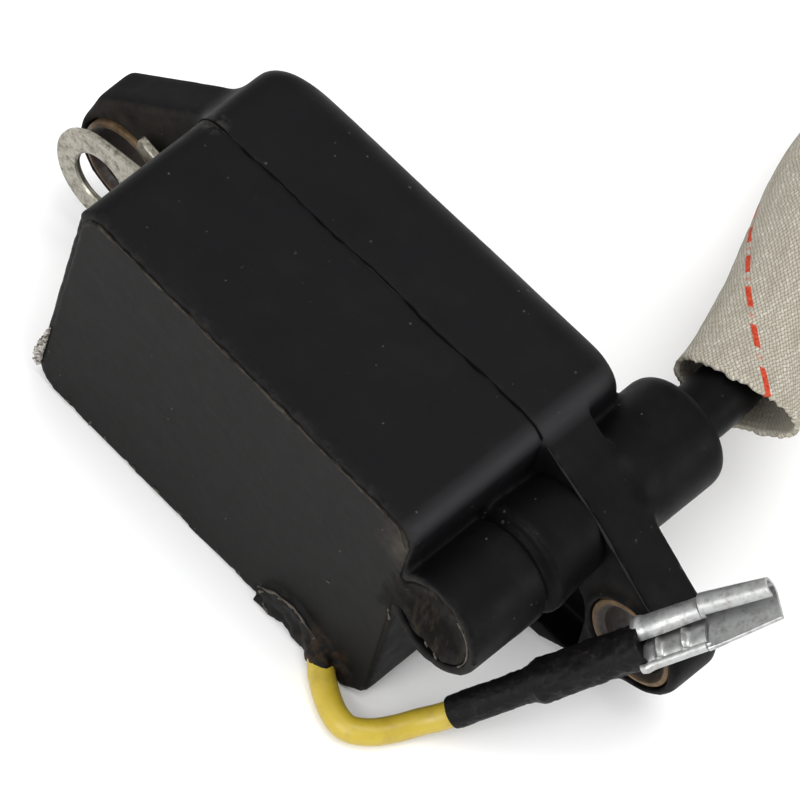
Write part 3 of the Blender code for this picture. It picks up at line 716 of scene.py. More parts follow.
def make_sleeve(paints):
    """A braided tube, pressed flat over the cable at its mouth, whose cut end is ragged and askew."""
    path, sides = sleeve_path(), 112
    last = len(path) - 1

    def mouth_shift(i, c, s):
        fade = max(0.0, 1 - i * SLEEVE_SPACING / MOUTH_FADE) ** 2
        askew = SLEEVE_FLAT * math.tan(MOUTH_TILT) * c
        return fade * (MOUTH_FLARE + askew - MOUTH_SAG * max(0.0, -s) ** 2)

    def loop(i, inner):
        ahead = heading(path, i)
        near = (TO_CAMERA - ahead * TO_CAMERA.dot(ahead)).normalized()
        wide = ahead.cross(near)
        along = i * SLEEVE_SPACING
        flat = 0.5 + 0.5 * math.cos(math.pi * min(1.0, along / SLEEVE_FLAT_END))
        thick_way = SLEEVE_RADIUS + (SLEEVE_FLAT - SLEEVE_RADIUS) * flat
        waist = math.sin(math.pi * min(1.0, along / SLEEVE_WAIST_END))
        spread = math.exp(-along / SLEEVE_SPREAD_END)
        wide_way = SLEEVE_RADIUS + SLEEVE_WIDENING * flat + SLEEVE_SPREAD * spread - SLEEVE_WAIST * waist
        row = []
        for k in range(sides):
            angle = 2 * math.pi * k / sides
            c, s = math.cos(angle), math.sin(angle)
            lump = 0.18 * MM * noise.noise(Vector((c * 1.5, s * 1.5, i * 0.08)))
            lump += 0.06 * MM * noise.noise(Vector((c * 5, s * 5, i * 0.3)))
            wall = SLEEVE_WALL if inner else 0.1 * MM
            point = path[i] + near * c * (thick_way + lump - wall) + wide * s * (wide_way + lump - wall)
            point -= ahead * mouth_shift(i, c, s)
            if i in (0, last):
                ragged = 0.45 * MM * noise.noise(Vector((c * 4, s * 4, 3.0 + i)))
                ragged += 0.50 * MM * noise.noise(Vector((c * 15, s * 15, 9.0 + i)))
                point += ahead * (ragged if i == 0 else -ragged)
            row.append(point)
        return row

    rows = [(i, False) for i in range(last + 1)] + [(i, True) for i in range(last, -1, -1)]
    around = 2 * math.pi * SLEEVE_RADIUS / sides

    def metres(column, row):
        i = rows[row % len(rows)][0]
        angle = 2 * math.pi * column / sides
        along = i * SLEEVE_SPACING - mouth_shift(i, math.cos(angle), math.sin(angle))
        return (column if column <= sides / 2 else column - sides) * around, along

    sleeve = skin("fibreglass_braid", [loop(*row) for row in rows], ring=True, uv=metres)
    # The layer cut marks the inside within 9 mm of the mouth, where the material paints light.
    add_layer(sleeve, "cut", [
        float(inner and i * SLEEVE_SPACING < 9 * MM) for i, inner in rows for _ in range(sides)])
    return clad(sleeve, paints["sleeve"], ["fibreglass_sleeve"], ALL_SMOOTH)


def make_boot(paints):
    """A moulded rubber boot with grip ribs, a bead at its mouth and a neck over the cable."""
    low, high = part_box("plug_boot")
    centre = middle("plug_boot")
    length, radius = high[1] - low[1], (high[0] - low[0]) / 2
    profile = [(0.0, radius - 1.4 * MM), (0.15 * MM, radius - 0.7 * MM), (0.6 * MM, radius - 0.1 * MM)]
    profile += [(1.2 * MM, radius), (3.6 * MM, radius), (4.2 * MM, radius - 0.2 * MM),
                (4.9 * MM, radius - 0.9 * MM)]
    ribs, pitch = 8, 2.6 * MM
    for i in range(ribs):
        start = 6.5 * MM + i * pitch
        body = radius - 1.1 * MM
        profile += [(start, body), (start + 0.35 * MM, body + 0.5 * MM), (start + 1.0 * MM, body + 0.5 * MM),
                    (start + 1.35 * MM, body)]
    profile += [(29 * MM, radius - 1.2 * MM), (31 * MM, radius - 1.7 * MM), (34 * MM, 6.2 * MM),
                (40 * MM, 5.9 * MM), (length - 0.7 * MM, 5.7 * MM), (length - 0.2 * MM, 5.4 * MM),
                (length, 4.9 * MM)]
    bore = HT_RADIUS + 0.25 * MM
    inside = [(length, bore + 0.4 * MM), (length - 0.5 * MM, bore), (26 * MM, bore), (25 * MM, 4.2 * MM),
              (1.0 * MM, 4.2 * MM), (0.2 * MM, 4.7 * MM)]
    loops = [at_y(circle(r, (centre.x, centre.z), 72), low[1] + y) for y, r in profile + inside]
    boot = skin("plug_boot_rubber", loops, ring=True)
    return clad(boot, paints["boot"], ["plug_boot"], 50)


def aimed(aim, hint):
    side = (hint - aim * hint.dot(aim)).normalized()
    return side, aim.cross(side)


SIDE, UP = aimed(TERMINAL_AIM, Vector((1, -1, 0)))


def on_terminal(distance, a, b):
    """A point by its distance along the terminal's axis and its offsets to the side and up."""
    return TERMINAL_START + TERMINAL_AIM * distance + SIDE * a + UP * b


def make_yellow_lead(paints):
    inside = [on_terminal(d * MM, 0, 0) for d in (3.0, 7.0, 11.0)]
    route = [Vector((0.0120, -0.0160, 0.0019)), Vector((0.0141, -0.0184, 0.0018))]
    points = smooth_points(route + [Vector(p) for p in YELLOW_ROUTE] + inside, 0.6 * MM)
    lead = tube_curve("yellow_wire", points, 1.5 * MM, 6)
    clad(lead, paints["yellow"], ["yellow_lead"])
    shrink = make_heat_shrink(paints)
    terminal = make_receptacle(paints)


def make_heat_shrink(paints):
    """A shrunk tube that steps up over the crimp, with soft wrinkles and a curled cut end."""
    count, sides = 120, 64
    loops = []
    for i in range(count + 1):
        t = i / count
        step = 1 / (1 + math.exp(-(t - 0.43) * 60))
        fold = math.exp(-((t - 0.47) / 0.03) ** 2)
        radius = (1.85 + 0.62 * step + 0.16 * fold - 0.10 * max(0.0, t - 0.9) / 0.1) * MM
        ring = []
        for k in range(sides):
            angle = 2 * math.pi * k / sides
            where = Vector((math.cos(angle) * 1.4, math.sin(angle) * 1.4, t * 9))
            crease = 0.16 * MM * noise.noise(where * 1.6) * (0.4 + step)
            fine = 0.08 * MM * noise.noise(where * 5)
            fine += 0.05 * MM * noise.noise(Vector((t * 40, angle * 0.6, 2)))
            flat = 1 - 0.12 * step * abs(math.sin(angle))
            reach = radius + crease + fine
            across, above = reach * math.cos(angle), reach * flat * math.sin(angle)
            ring.append(on_terminal(t * SHRINK_LENGTH, across, above))
        loops.append(ring)
    wall, depth = 0.45 * MM, 2.0 * MM

    def shrunk(ring, distance, inset):
        centre = on_terminal(distance, 0, 0)
        return [centre + (p - centre) * (1 - inset / (p - centre).length) for p in ring]

    loops += [shrunk(loops[-1], SHRINK_LENGTH, wall), shrunk(loops[-1], SHRINK_LENGTH - depth, wall)]
    loops = [shrunk(loops[0], depth, wall * 0.8), shrunk(loops[0], 0, wall * 0.8)] + loops
    tube = skin("shrunk_sleeve", loops)
    return clad(tube, paints["shrink"], ["heat_shrink"], 60)


def thick(path, thickness):
    """A closed (a, b) outline: the open path and its copy one sheet thickness to the left."""
    points = [Vector(p) for p in path]
    inner = []
    for i, point in enumerate(points):
        ahead = heading(points, i)
        inner.append(point + Vector((-ahead.y, ahead.x)) * thickness)
    return points + inner[::-1]


def arc(centre, radius, start, end, steps):
    return [
        (centre[0] + radius * math.cos(math.radians(start + (end - start) * i / steps)),
         centre[1] + radius * math.sin(math.radians(start + (end - start) * i / steps)))
        for i in range(steps + 1)
    ]


def rolled_section(half_width, floor, upper, lower, lip=-60):
    """A stamped channel's section: one edge rolled over on to the floor, the other turned up."""
    left = arc((-half_width + upper, floor - upper), upper, 350, 90, 20)
    right = arc((half_width - lower, floor - lower), lower, 90, lip, 10)
    steps = 14
    start, end = left[-1], right[0]
    flat = [(start[0] + (end[0] - start[0]) * i / steps, floor) for i in range(1, steps)]
    return left + flat + right


def make_receptacle(paints):
    """A tab receptacle stamped from sheet: a crimped barrel with two pressed ribs, and a rolled body."""
    sheet = 0.40 * MM
    start, barrel_end, end = 23.2 * MM, 31.3 * MM, 40.1 * MM
    ribs = (25.6 * MM, 28.8 * MM)

    def placed(distance, section, rib=0.0, slant=0.0):
        points = thick(section, -sheet)
        made = []
        for a, b in points:
            on_floor = math.exp(-((a - 0.9 * MM) / (1.5 * MM)) ** 4) if b > 0.3 * MM else 0.0
            made.append(on_terminal(distance + slant * a, a, b - rib * on_floor))
        return made

    barrel = []
    count = 60
    for i in range(count + 1):
        distance = start + (barrel_end - start) * i / count
        rib = sum(math.exp(-((distance - r) / (0.30 * MM)) ** 2) for r in ribs) * 0.75 * MM + 0.75 * MM
        dent = 0.12 * MM * math.sin((distance - start) / (1.6 * MM))
        flare = 0.15 * MM * math.exp(-((distance - 23.8 * MM) / (0.5 * MM)) ** 2)
        barrel.append(placed(distance, rolled_section(
            3.05 * MM + flare, 1.15 * MM, 1.45 * MM + dent * 0.5 + flare, 0.62 * MM, -100), rib))
    tube = skin("crimp_barrel", barrel)
    body, body_start = [], barrel_end + 0.25 * MM
    for i in range(13):
        t = i / 12
        turned_up = (0.30 + 0.10 * math.exp(-t * 8)) * MM
        section = rolled_section((3.25 - 0.85 * t) * MM, 0.85 * MM, (1.42 - 0.16 * t) * MM, turned_up)
        body.append(placed(body_start + (end - body_start) * t, section, slant=0.20 * t ** 3))
    rolled = skin("rolled_body", body)
    step = skin("step_face", [
        placed(barrel_end - 0.25 * MM, rolled_section(2.75 * MM, 1.0 * MM, 1.2 * MM, 0.5 * MM)),
        placed(barrel_end + 0.60 * MM, rolled_section(2.75 * MM, 0.95 * MM, 1.25 * MM, 0.45 * MM)),
    ])
    join([tube, rolled, step])
    tube.name = "tab_receptacle_stamped"
    return clad(tube, paints["terminal"], ["tab_receptacle"], 42)


def join(objects):
    """Adds the other objects' meshes to the first one's."""
    bm = bmesh.new()
    for obj in objects:
        bm.from_mesh(obj.data)
    bm.to_mesh(objects[0].data)
    bm.free()
    for obj in objects[1:]:
        bpy.data.objects.remove(obj, do_unlink=True)


# ---- housing ---------------------------------------------------------------------------------------


def mouth_y(x, offset=0.0):
    return MOUTH_Y + MOUTH_SLOPE * (x - MOUTH_X) + offset


def mouth_at(offset):
    return lambda x: mouth_y(x, offset)


def box_outline(inset=0.0, steps=10):
    return rounded_box((BOX_LEFT + inset, inset), (BOX_RIGHT - inset, BOX_HEIGHT - inset),
                       max(BOX_CORNER - inset, 1 * MM), steps)


def wave(point, size, seed=0.0):
    return noise.noise(point / size + Vector((seed, seed * 2, seed * 3)))


def mould_marks(point, normal):
    """The slight sinks and swells of a moulded wall."""
    return 0.05 * MM * wave(point, 11 * MM) + 0.012 * MM * wave(point, 1.7 * MM, 4)


def round_tube(radius, y, angles):
    """Points about the HT tube's axis, at y from its mouth and at angles in degrees."""
    return [Vector((TUBE_X + math.cos(a) * radius, mouth_y(TUBE_X, y), TUBE_Z + math.sin(a) * radius))
            for a in (math.radians(angle) for angle in angles)]


def passage(half):
    """The section of the way from the box into the HT tube, by half its height."""
    return rounded_box((BOX_RIGHT - 4 * MM, TUBE_Z - half), (TUBE_X, TUBE_Z + half), 0.6 * MM, 3)


def make_front_cup(paints):
    ahead, back = mouth_at(-OVERRUN), SEAM_Y + SEAM_LAP
    mouth_end = PLUG_END_Y + 3 * MM
    groove = [(-1.5, 0.0), (-1.1, 0.75), (-0.4, 0.80), (-0.1, 0.0), (0.2, -0.45), (0.9, -0.50), (2.0, -0.30)]
    collar = [at_y(circle(TUBE_RADIUS - deep * MM, TUBE_CENTRE), COLLAR_Y + y * MM) for y, deep in groove]
    adds = [
        skin("box_solid", [at_y(box_outline(), mouth_y), at_y(box_outline(0.12 * MM), back)]),
        skin("tube_solid", [at_y(circle(TUBE_RADIUS, TUBE_CENTRE), mouth_y)] + collar
             + [at_y(circle(PLATE_TUBE_RADIUS, TUBE_CENTRE), back)]),
    ]
    cuts = [
        prism("cup_hollow", box_outline(CUP_WALL), ahead, SEAM_Y + OVERRUN),
        rod("tube_mouth", TUBE_CENTRE, TUBE_RADIUS - TUBE_WALL, ahead, mouth_end),
        rod("tube_bore", TUBE_CENTRE, HT_RADIUS + CLEARANCE, PLUG_END_Y, SEAM_Y + OVERRUN),
        prism("tube_channel", passage(2.5 * MM), ahead, mouth_end),
    ]
    cup = fused("front_cup_moulding", adds, cuts)
    relax(cup, 2)

    def surface(point, normal):
        depth = point.y - mouth_y(point.x)
        rough = 0.16 * MM if point.z > 25 * MM else 0.06 * MM
        flaky = math.exp(-(depth / (0.7 * MM)) ** 2) * (rough * wave(point, 1.3 * MM, 3) - 0.04 * MM)
        return mould_marks(point, normal) + (flaky if depth < 2 * MM else 0.0)

    push(cup, surface)
    mark_wear(cup)
    points = coordinates(cup.data)
    depth = points[:, 1] - mouth_y(points[:, 0])
    add_layer(cup, "rim", np.clip(1 - depth / (0.30 * MM), 0, 1))
    return clad(cup, paints["housing"], ["front_cup"], ALL_SMOOTH)


def make_potting(paints):
    """The resin, brimming over the rim of the mouth, with a chipped lip along its lower edge."""
    def brim_outline(inset):
        return rounded_box(
            (BOX_LEFT + 0.7 * MM + inset, 0.15 * MM + inset),
            (BOX_RIGHT - 0.35 * MM - inset, BOX_HEIGHT - 0.75 * MM - inset), BOX_CORNER - inset)

    steps = ((0.45, -0.12), (0.12, -0.22), (0.0, -0.10), (0.0, 0.3))
    brim = [at_y(brim_outline(inset * MM), mouth_at(y * MM)) for inset, y in steps]
    lip = [(x * MM, z * MM) for x, z in LIP_OUTLINE]
    low_lip = rounded_box((13.0 * MM, 0.2 * MM), (18.8 * MM, 2.9 * MM), 1 * MM, 4)
    # Resin that crept out over the yellow lead: radius, x, z and y in millimetres
    hood = ((2.2, 13.2, 2.2, -16.8), (2.15, 14.2, 2.1, -19.0),
            (1.9, 15.1, 1.95, -20.2), (1.3, 15.7, 1.7, -20.9))
    adds = [
        prism("resin_block", box_outline(CUP_WALL + 0.15 * MM), mouth_y, SEAM_Y - 0.3 * MM),
        skin("resin_brim", brim),
        rod("resin_plug", TUBE_CENTRE, TUBE_RADIUS - 1.25 * MM, mouth_at(0.15 * MM), PLUG_END_Y),
        prism("resin_channel", passage(2.35 * MM), mouth_y, PLUG_END_Y),
        prism("resin_lip", lip, mouth_at(-1.0 * MM), mouth_at(0.5 * MM)),
        prism("resin_low_lip", low_lip, mouth_at(-0.6 * MM), mouth_at(0.5 * MM)),
        skin("resin_hood", [at_y(circle(r * MM, (x * MM, z * MM), 32), y * MM) for r, x, z, y in hood]),
    ]
    cuts = [
        prism("coil_pocket", rounded_box((-27.5 * MM, 3.5 * MM), (17.5 * MM, 30.7 * MM), 1 * MM, 3),
              -11.0 * MM, SEAM_Y + OVERRUN),
        rod("wire_way", (14.5 * MM, 2.1 * MM), 1.55 * MM, mouth_at(-2 * MM), mouth_at(1 * MM)),
        ridge("resin_gap", round_tube(4.7 * MM, 0.0, range(192, 289, 8)), 0.60 * MM, 0.15 * MM, 31),
    ]
    resin = fused("potting_resin", adds, cuts)
    relax(resin, 1)

    def surface(point, normal):
        depth = point.y - mouth_y(point.x)
        if depth > 0.6 * MM:
            return 0.0
        if normal.y < -0.95 and -0.45 * MM < depth < 0.05 * MM:
            even = -0.16 * MM + 0.015 * MM * wave(point, 1.1 * MM, 7)
            return Vector((0, even - depth, 0))
        on_lip = max(0.06, min(1.0, (point.x - 2.5 * MM) / (2 * MM), (16 * MM - point.x) / (2 * MM)))
        low = max(0.0, 1 - point.z / (7.5 * MM)) * on_lip
        chips = max(0.0, wave(point, 1.3 * MM, 2) + 0.1) * low * 0.9 * MM
        return 0.08 * MM * wave(point, 9 * MM) + 0.03 * MM * wave(point, 1.6 * MM, 7) - chips

    push(resin, surface)
    mark_wear(resin)
    return clad(resin, paints["resin"], ["potting_compound"], ALL_SMOOTH)


def ear_outline(side):
    edge = BOX_RIGHT if side > 0 else BOX_LEFT
    hole = middle("ht_bush" if side > 0 else "ground_bush")
    inner = edge - side * 1.5 * MM
    points = circle(EAR_RADIUS, (hole.x, hole.z))
    points += [(inner, BOX_HEIGHT - 0.6 * MM), (inner, 0.6 * MM)]
    if side > 0:
        points.append((27.5 * MM, 0.6 * MM))
        points += circle(PLATE_TUBE_RADIUS, TUBE_CENTRE)
    else:
        points += circle(2.5 * MM, (-42.0 * MM, 17.8 * MM), 24)
    return hull(points)


def make_rear_shell(paints):
    front, ear_back = SEAM_Y + 0.1 * MM, SEAM_Y + EAR_THICKNESS
    loops = [at_y(box_outline(), SEAM_Y - SEAM_LAP)]
    for i in range(17):
        angle = math.pi / 2 * i / 16
        inset = BACK_ROUND * (1 - math.cos(angle))
        outline = rounded_box(
            (BOX_LEFT + inset, inset), (BOX_RIGHT - inset * TOWER_SIDE_ROUND, BOX_HEIGHT - inset),
            BOX_CORNER + inset * 0.7)
        loops.append(at_y(outline, BACK_Y - BACK_ROUND + BACK_ROUND * math.sin(angle)))
    tower_round = 1.6 * MM
    stations = ((PLATE_TUBE_RADIUS, front), (PLATE_TUBE_RADIUS, ear_back - 1.5 * MM),
                (TOWER_RADIUS, ear_back))
    tower = [at_y(circle(radius, TUBE_CENTRE), y) for radius, y in stations]
    for i in range(9):
        angle = math.pi / 2 * i / 8
        radius = TOWER_RADIUS - tower_round * (1 - math.cos(angle))
        tower.append(at_y(circle(radius, TUBE_CENTRE), TOWER_END_Y - tower_round * (1 - math.sin(angle))))
    adds = [skin("body_solid", loops), skin("tower_solid", tower)]
    pocket = [(18.5, 2.8), (31.0, 2.8), (32.2, 5.0), (31.8, 12.0), (29.5, 15.0), (18.5, 15.0)]
    hollow = rounded_box((BOX_LEFT + SHELL_WALL, SHELL_WALL),
                         (BOX_RIGHT - SHELL_WALL, BOX_HEIGHT - SHELL_WALL), 2 * MM, 4)
    adds += [prism("ht_plate", ear_outline(1), front, ear_back),
             prism("ground_plate", ear_outline(-1), front + 0.8 * MM, ear_back)]
    cuts = [
        prism("pocket", [(x * MM, z * MM) for x, z in pocket], front - OVERRUN, SEAM_Y + 4 * MM),
        prism("shell_hollow", hollow, front - OVERRUN, BACK_Y - SHELL_WALL),
        rod("tower_bore", TUBE_CENTRE, HT_RADIUS + CLEARANCE, front - OVERRUN, TOWER_END_Y + OVERRUN),
        rod("seal_seat", TUBE_CENTRE, 5.2 * MM, TOWER_END_Y - 3 * MM, TOWER_END_Y + OVERRUN),
    ]
    for name in ("ground_bush", "ht_bush"):
        hole = middle(name)
        proud = 0.5 * MM if name == "ht_bush" else 0.0
        adds.append(rod(f"{name}_boss", (hole.x, hole.z), EAR_RADIUS - proud, front - proud, ear_back))
        cuts.append(rod(f"{name}_hole", (hole.x, hole.z), BUSH_RADIUS + CLEARANCE,
                        front - OVERRUN, ear_back + OVERRUN))
    shell = fused("rear_shell_moulding", adds, cuts, SHELL_VOXEL)
    relax(shell, 4)
    relax(shell, 10, lambda points: points[:, 0] > BOX_LEFT - 0.4 * MM)
    push(shell, mould_marks)
    mark_wear(shell)
    return clad(shell, paints["housing"], ["rear_shell"], ALL_SMOOTH)


def ridge(name, path, radius, wander, seed):
    """A thin irregular thread of moulding flash along the path, that thickens, thins and wanders."""
    fine = []
    for start, end in zip(path, path[1:]):
        steps = max(1, round((end - start).length / (0.35 * MM)))
        fine += [start.lerp(end, i / steps) for i in range(steps)]
    loops = []
    for point, (side, other) in zip(fine, sides_along(fine)):
        shift = Vector((0, wander * (wave(point, 9 * MM, seed) + 0.4 * wave(point, 1.5 * MM, seed + 1)), 0))
        size = max(0.02 * MM, radius * (1 + 1.5 * wave(point, 1.9 * MM, seed + 2)))
        loops.append([point + shift + (side * c + other * s) * size for c, s in circle(1.0, sides=8)])
    return skin(name, loops)


def make_edges(paints):
    """The lines that the moulds left: seam, the ear plate's front edge, torn skin round the resin, whose top
    edge and a thread at the tube's mouth are painted light as highlights.
    """
    seam = [Vector((x, SEAM_Y, z)) for x, z in box_outline(0.04 * MM, 12) if z > 2.9 * MM]
    plate = [Vector((x, SEAM_Y + 0.05 * MM, z)) for x, z in ear_outline(1) if x > BOX_RIGHT and z > 17 * MM]
    plate.sort(key=lambda p: p.x)
    plate.insert(0, Vector((BOX_RIGHT, SEAM_Y, BOX_HEIGHT - 2.0 * MM)))
    # The torn skin along the top of the resin is painted light, partly a painted highlight on its edge.
    top = BOX_HEIGHT - 0.95 * MM
    torn = [Vector((x, mouth_y(x, -0.16 * MM), top)) for x in (BOX_LEFT + 3 * MM, BOX_RIGHT - 2.4 * MM)]
    torn.append(Vector((BOX_RIGHT - 0.6 * MM, mouth_y(BOX_RIGHT, -0.16 * MM), top - 2.4 * MM)))
    # Painted highlight: a light tan thread along the right edge of the resin in the HT tube's mouth.
    lobe = round_tube(TUBE_RADIUS - TUBE_WALL, 0.05 * MM, range(-30, 66, 6))
    low = [Vector((x * MM, mouth_y(x * MM, -0.95 * MM), z * MM)) for x, z in LIP_OUTLINE[1:-1]]
    for name, path, radius, wander, seed, paint, slot in (
        ("seam_flash", seam, 0.08, 0.32, 5, "seam", "housing"),
        ("plate_flash", plate, 0.11, 0.10, 9, "flash", "housing"),
        ("torn_edge_highlight", torn, 0.12, 0.09, 12, "torn", "potting"),
        ("lobe_edge_highlight", lobe, 0.10, 0.12, 21, "flake_and_highlight", "potting"),
        ("torn_lip", low, 0.12, 0.30, 15, "flake_and_highlight", "potting"),
    ):
        clad(ridge(name, path, radius * MM, wander * MM, seed), paints[paint], (), ALL_SMOOTH)


def make_chips(paints):
    """Small torn flakes of resin along the lower edge of the mouth and on the lip."""
    # x, z and the distance out of the mouth, in millimetres
    low_edge = (-25.5, -22.0, -19.5, -15.0, -11.5, -8.0, -5.5, -2.0, 1.5, 16.9, 18.2)
    places = [(x, 0.80, -0.12) for x in low_edge]
    places += [(20.4, 18.6, -0.1), (20.7, 17.5, 0.0), (26.0, 18.9, 0.1), (27.5, 18.4, 0.1),
               (12.4, 13.7, -0.10), (5.2, 3.0, -1.0), (7.8, 5.0, -1.0), (9.3, 5.4, -1.05),
               (10.2, 5.3, -1.0), (11.3, 4.9, -1.0), (13.2, 4.0, -1.1), (12.6, 1.2, -1.05),
               (6.4, 1.0, -1.0)]
    chips = []
    for i, (x, z, ahead) in enumerate(places):
        bm = bmesh.new()
        bmesh.ops.create_icosphere(bm, subdivisions=2, radius=1.0)
        seed = Vector((i * 2.3, i * 1.1, 4.0))
        size = Vector((0.42, 0.12, 0.13)) * (1 + 0.8 * noise.noise(seed)) * MM
        turn = Matrix.Rotation(5.0 * noise.noise(seed * 1.7), 3, "Y")
        centre = Vector((x * MM, mouth_y(x * MM, ahead * MM), z * MM))
        for vertex in bm.verts:
            torn = 1 + 1.1 * noise.noise(vertex.co * 2.4 + seed)
            vertex.co = centre + turn @ Vector([a * b * torn for a, b in zip(vertex.co, size)])
        mesh = bpy.data.meshes.new(f"chip_{i}")
        bm.to_mesh(mesh)
        bm.free()
        chips.append(linked(mesh.name, mesh))
    join(chips)
    chips[0].name = "resin_chips"
    clad(chips[0], paints["flake_and_highlight"], (), 25)


def make_fibres(paints):
    """The frayed end of fibre that sticks out at the lower left of the mouth."""
    strands = []
    count = 70
    for i in range(count):
        seed = Vector((i * 1.7, i * 0.6, 2.0))
        a, b, c = (noise.noise(seed + Vector((k, 0, 0)) * 9.3) for k in (1, 2, 3))
        t = (i + 0.5) / count
        start = Vector((BOX_LEFT + 0.55 * MM, -16.75 * MM + 0.5 * MM * b, (2.2 + 7.2 * t) * MM))
        bulge = 0.25 + 0.55 * math.sin(math.pi * min(1.0, t * 1.15))
        aim = Vector((-1.0, -0.35 + a, 1.2 * c)).normalized() * bulge * 1.15 * MM
        bend = Vector((0.1 * a, 0.4 * b, -0.5 - 0.5 * a)) * 0.9 * MM
        path = [start + aim * u + bend * u * u for u in (0, 0.25, 0.5, 0.75, 1)]
        loops = []
        for point, (side, other) in zip(path, sides_along(path)):
            loops.append([point + (side * x + other * z) * 0.13 * MM for x, z in circle(1.0, sides=6)])
        strands.append(skin(f"strand_{i}", loops))
    join(strands)
    strands[0].name = "frayed_fibre"
    clad(strands[0], paints["fibre"], (), ALL_SMOOTH)


def make_bushes(paints):
    for name in ("ground_bush", "ht_bush"):
        low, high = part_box(name)
        hole = middle(name)
        edge, worn = 0.35 * MM, 0.1 * MM
        chamfer, back_chamfer = 0.75 * MM, 0.3 * MM
        stations = [
            (low[1], BUSH_BORE + chamfer), (low[1], BUSH_RADIUS - edge), (low[1] + worn, BUSH_RADIUS - worn),
            (low[1] + edge, BUSH_RADIUS), (high[1] - edge, BUSH_RADIUS), (high[1] - worn, BUSH_RADIUS - worn),
            (high[1], BUSH_RADIUS - edge), (high[1], BUSH_BORE + back_chamfer),
            (high[1] - back_chamfer, BUSH_BORE), (low[1] + chamfer, BUSH_BORE),
        ]
        loops = [at_y(circle(radius, (hole.x, hole.z)), y) for y, radius in stations]
        clad(skin(f"{name}_steel", loops, ring=True), paints["rust"], [name], 30)


def make_ground_tag(paints):
    """A stamped ring and its tongue, its edges rounded by the punch, and the small prong behind it."""
    centre = Vector((RING_X, middle("ground_bush").z))
    tongue = [Vector((BOX_LEFT + 1.5 * MM, 21.7 * MM)), Vector((BOX_LEFT + 1.5 * MM, 12.2 * MM))]
    outline = [Vector(p) for p in hull(circle(RING_RADIUS, centre, 120) + [tuple(p) for p in tongue])]
    sides = 144

    def reach(direction):
        best = RING_RADIUS
        for start, end in zip(outline, outline[1:] + outline[:1]):
            hit = geometry.intersect_line_line_2d(centre, centre + direction * 0.05, start, end)
            if hit:
                best = max(best, (hit - centre).length)
        return best

    turns = [Vector(point) for point in circle(1.0, sides=sides)]
    reaches = [reach(t) for t in turns]
    edge = 0.20 * MM
    front, back = TAG_Y - TAG_SHEET / 2, TAG_Y + TAG_SHEET / 2

    def loop(y, radii):
        return [(centre.x + t.x * r, y, centre.y + t.y * r) for t, r in zip(turns, radii)]

    loops = [loop(y, [r - inset for r in reaches])
             for y, inset in ((front, edge), (front + edge, 0), (back - edge, 0), (back, edge))]
    loops += [loop(y, [RING_HOLE + grow] * sides)
              for y, grow in ((back, edge), (back - edge, 0), (front + edge, 0), (front, edge))]
    tag = skin("ground_tag_stamped", loops, ring=True)
    # The prong's middle line with its half height, and its section, in millimetres
    line = ((-30.2, 0.15, 21.0, 0.9), (-34.4, 0.25, 21.5, 0.9),
            (-36.2, 0.35, 21.7, 0.9), (-36.4, 0.36, 21.7, 0.75))
    section = ((-1, -0.8), (-1, 0.8), (-0.7, 1), (0.7, 1), (1, 0.8), (1, -0.8), (0.7, -1), (-0.7, -1))
    prong = [[(x * MM, (y + dy * 0.5) * MM, (z + dz * half) * MM) for dy, dz in section]
             for x, y, z, half in line]
    join([tag, skin("prong", prong)])
    return clad(tag, paints["tag"], ["ground_tag"], 30)


# ---- set -------------------------------------------------------------------------------------------


def make_floor(paints):
    mesh = bpy.data.meshes.new("floor")
    half = 3.0
    corners = [(-half, -half, 0), (half, -half, 0), (half, half, 0), (-half, half, 0)]
    mesh.from_pydata(corners, [], [(0, 1, 2, 3)])
    mesh.materials.append(paints["floor"])
    floor = linked("floor", mesh)


def make_light(name, place, size, power):
    lamp = bpy.data.lights.new(name, "AREA")
    lamp.shape, lamp.size, lamp.energy = "DISK", size, power
    obj = linked(name, lamp)
    obj.location = place
    obj.rotation_euler = (AIM_POINT - Vector(place)).to_track_quat("-Z", "Y").to_euler()


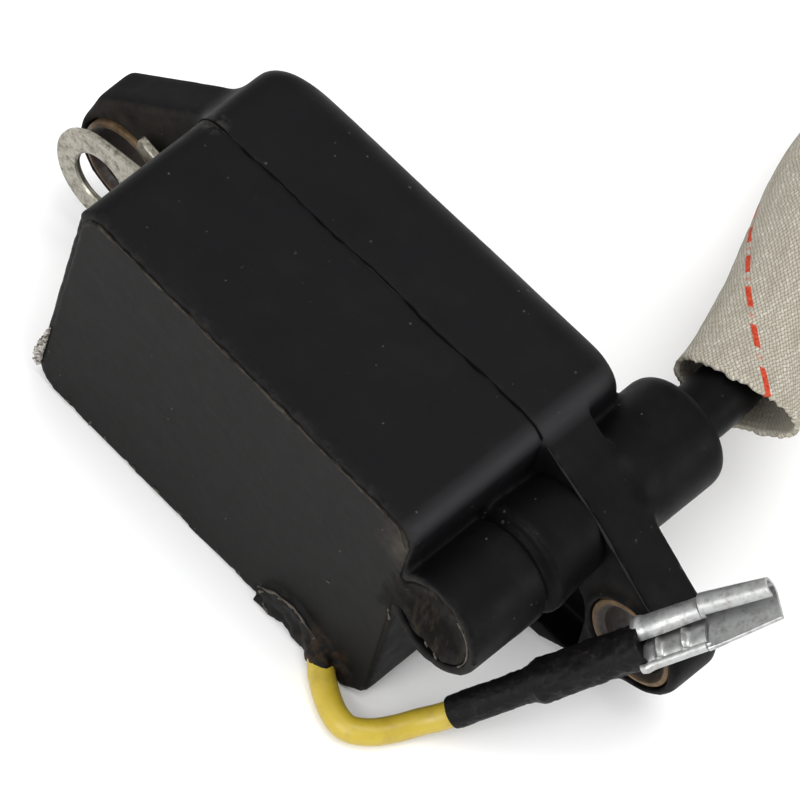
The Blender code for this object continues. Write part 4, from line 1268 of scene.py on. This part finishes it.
def make_lights():
    world = bpy.data.worlds.new("studio")
    world.use_nodes = True
    sky = world.node_tree.nodes["Background"].inputs
    sky["Color"].default_value, sky["Strength"].default_value = (1, 1, 1, 1), 0.74
    bpy.context.scene.world = world
    make_light("front", (0.05, -0.95, 0.60), 0.8, 8.5)
    make_light("overhead", (0.15, 0.10, 1.10), 0.8, 6.5)
    make_light("side", (0.85, 0.45, 0.30), 0.4, 3.5)
    bpy.context.scene.view_settings.view_transform = "Standard"


def main():
    make_camera()
    paints = {
        "housing": housing_material(), "resin": resin_material(), "rust": rust_material(),
        "tag": tin_material("tin_plate_dull", (0.345, 0.326, 0.276), (0.100, 0.087, 0.062), 0.38, 0.85),
        "terminal": tin_material("tin_plate_bright", (0.40, 0.41, 0.405), (0.26, 0.255, 0.25), 0.38, 0.75),
        "lead": rubber_material("cable_jacket", 0.0015, 0.50, 0.07),
        "boot": rubber_material("boot_rubber", 0.0070, 0.55),
        "flash": rubber_material("flash_edge", 0.0110, 0.50),
        "seam": rubber_material("seam_edge", 0.0012, 0.60, 0.03),
        # The tan resin paints serve torn flakes and skin, and painted highlights on the resin's edges.
        "flake_and_highlight": flake_material("torn_resin_and_highlight", (0.080, 0.067, 0.050), 0.3),
        "torn": flake_material("resin_skin_and_highlight", (0.040, 0.035, 0.028), 0.1),
        "fibre": fibre_material(), "sleeve": sleeve_material(), "yellow": yellow_material(),
        "shrink": shrink_material(), "copper": copper_material(), "nylon": nylon_material(),
        "steel": metal_material("lamination_steel", (0.30, 0.30, 0.31), (0.42, 0.42, 0.43), 0.38),
        "brass": metal_material("plain_brass", (0.50, 0.33, 0.12), (0.68, 0.48, 0.20), 0.32),
        "floor": floor_material(),
    }
    make_ht_lead(paints)
    make_yellow_lead(paints)
    make_front_cup(paints)
    make_rear_shell(paints)
    make_potting(paints)
    make_edges(paints)
    make_chips(paints)
    make_fibres(paints)
    make_bushes(paints)
    make_ground_tag(paints)
    inner = {"lead_seal": "boot", "ht_pin": "brass", "plug_clip": "brass", "primary_bobbin": "nylon",
             "secondary_bobbin": "nylon", "primary_winding": "copper", "ht_link": "copper",
             "primary_link": "copper", "ground_link": "copper"}
    for i in range(1, 7):
        inner[f"core_lamination_{i}"] = "steel"
        inner[f"secondary_section_{i}"] = "copper"
    for name, paint in inner.items():
        slots = bpy.data.objects[name].data.materials
        slots.clear()
        slots.append(paints[paint])
    make_floor(paints)
    make_lights()


main()
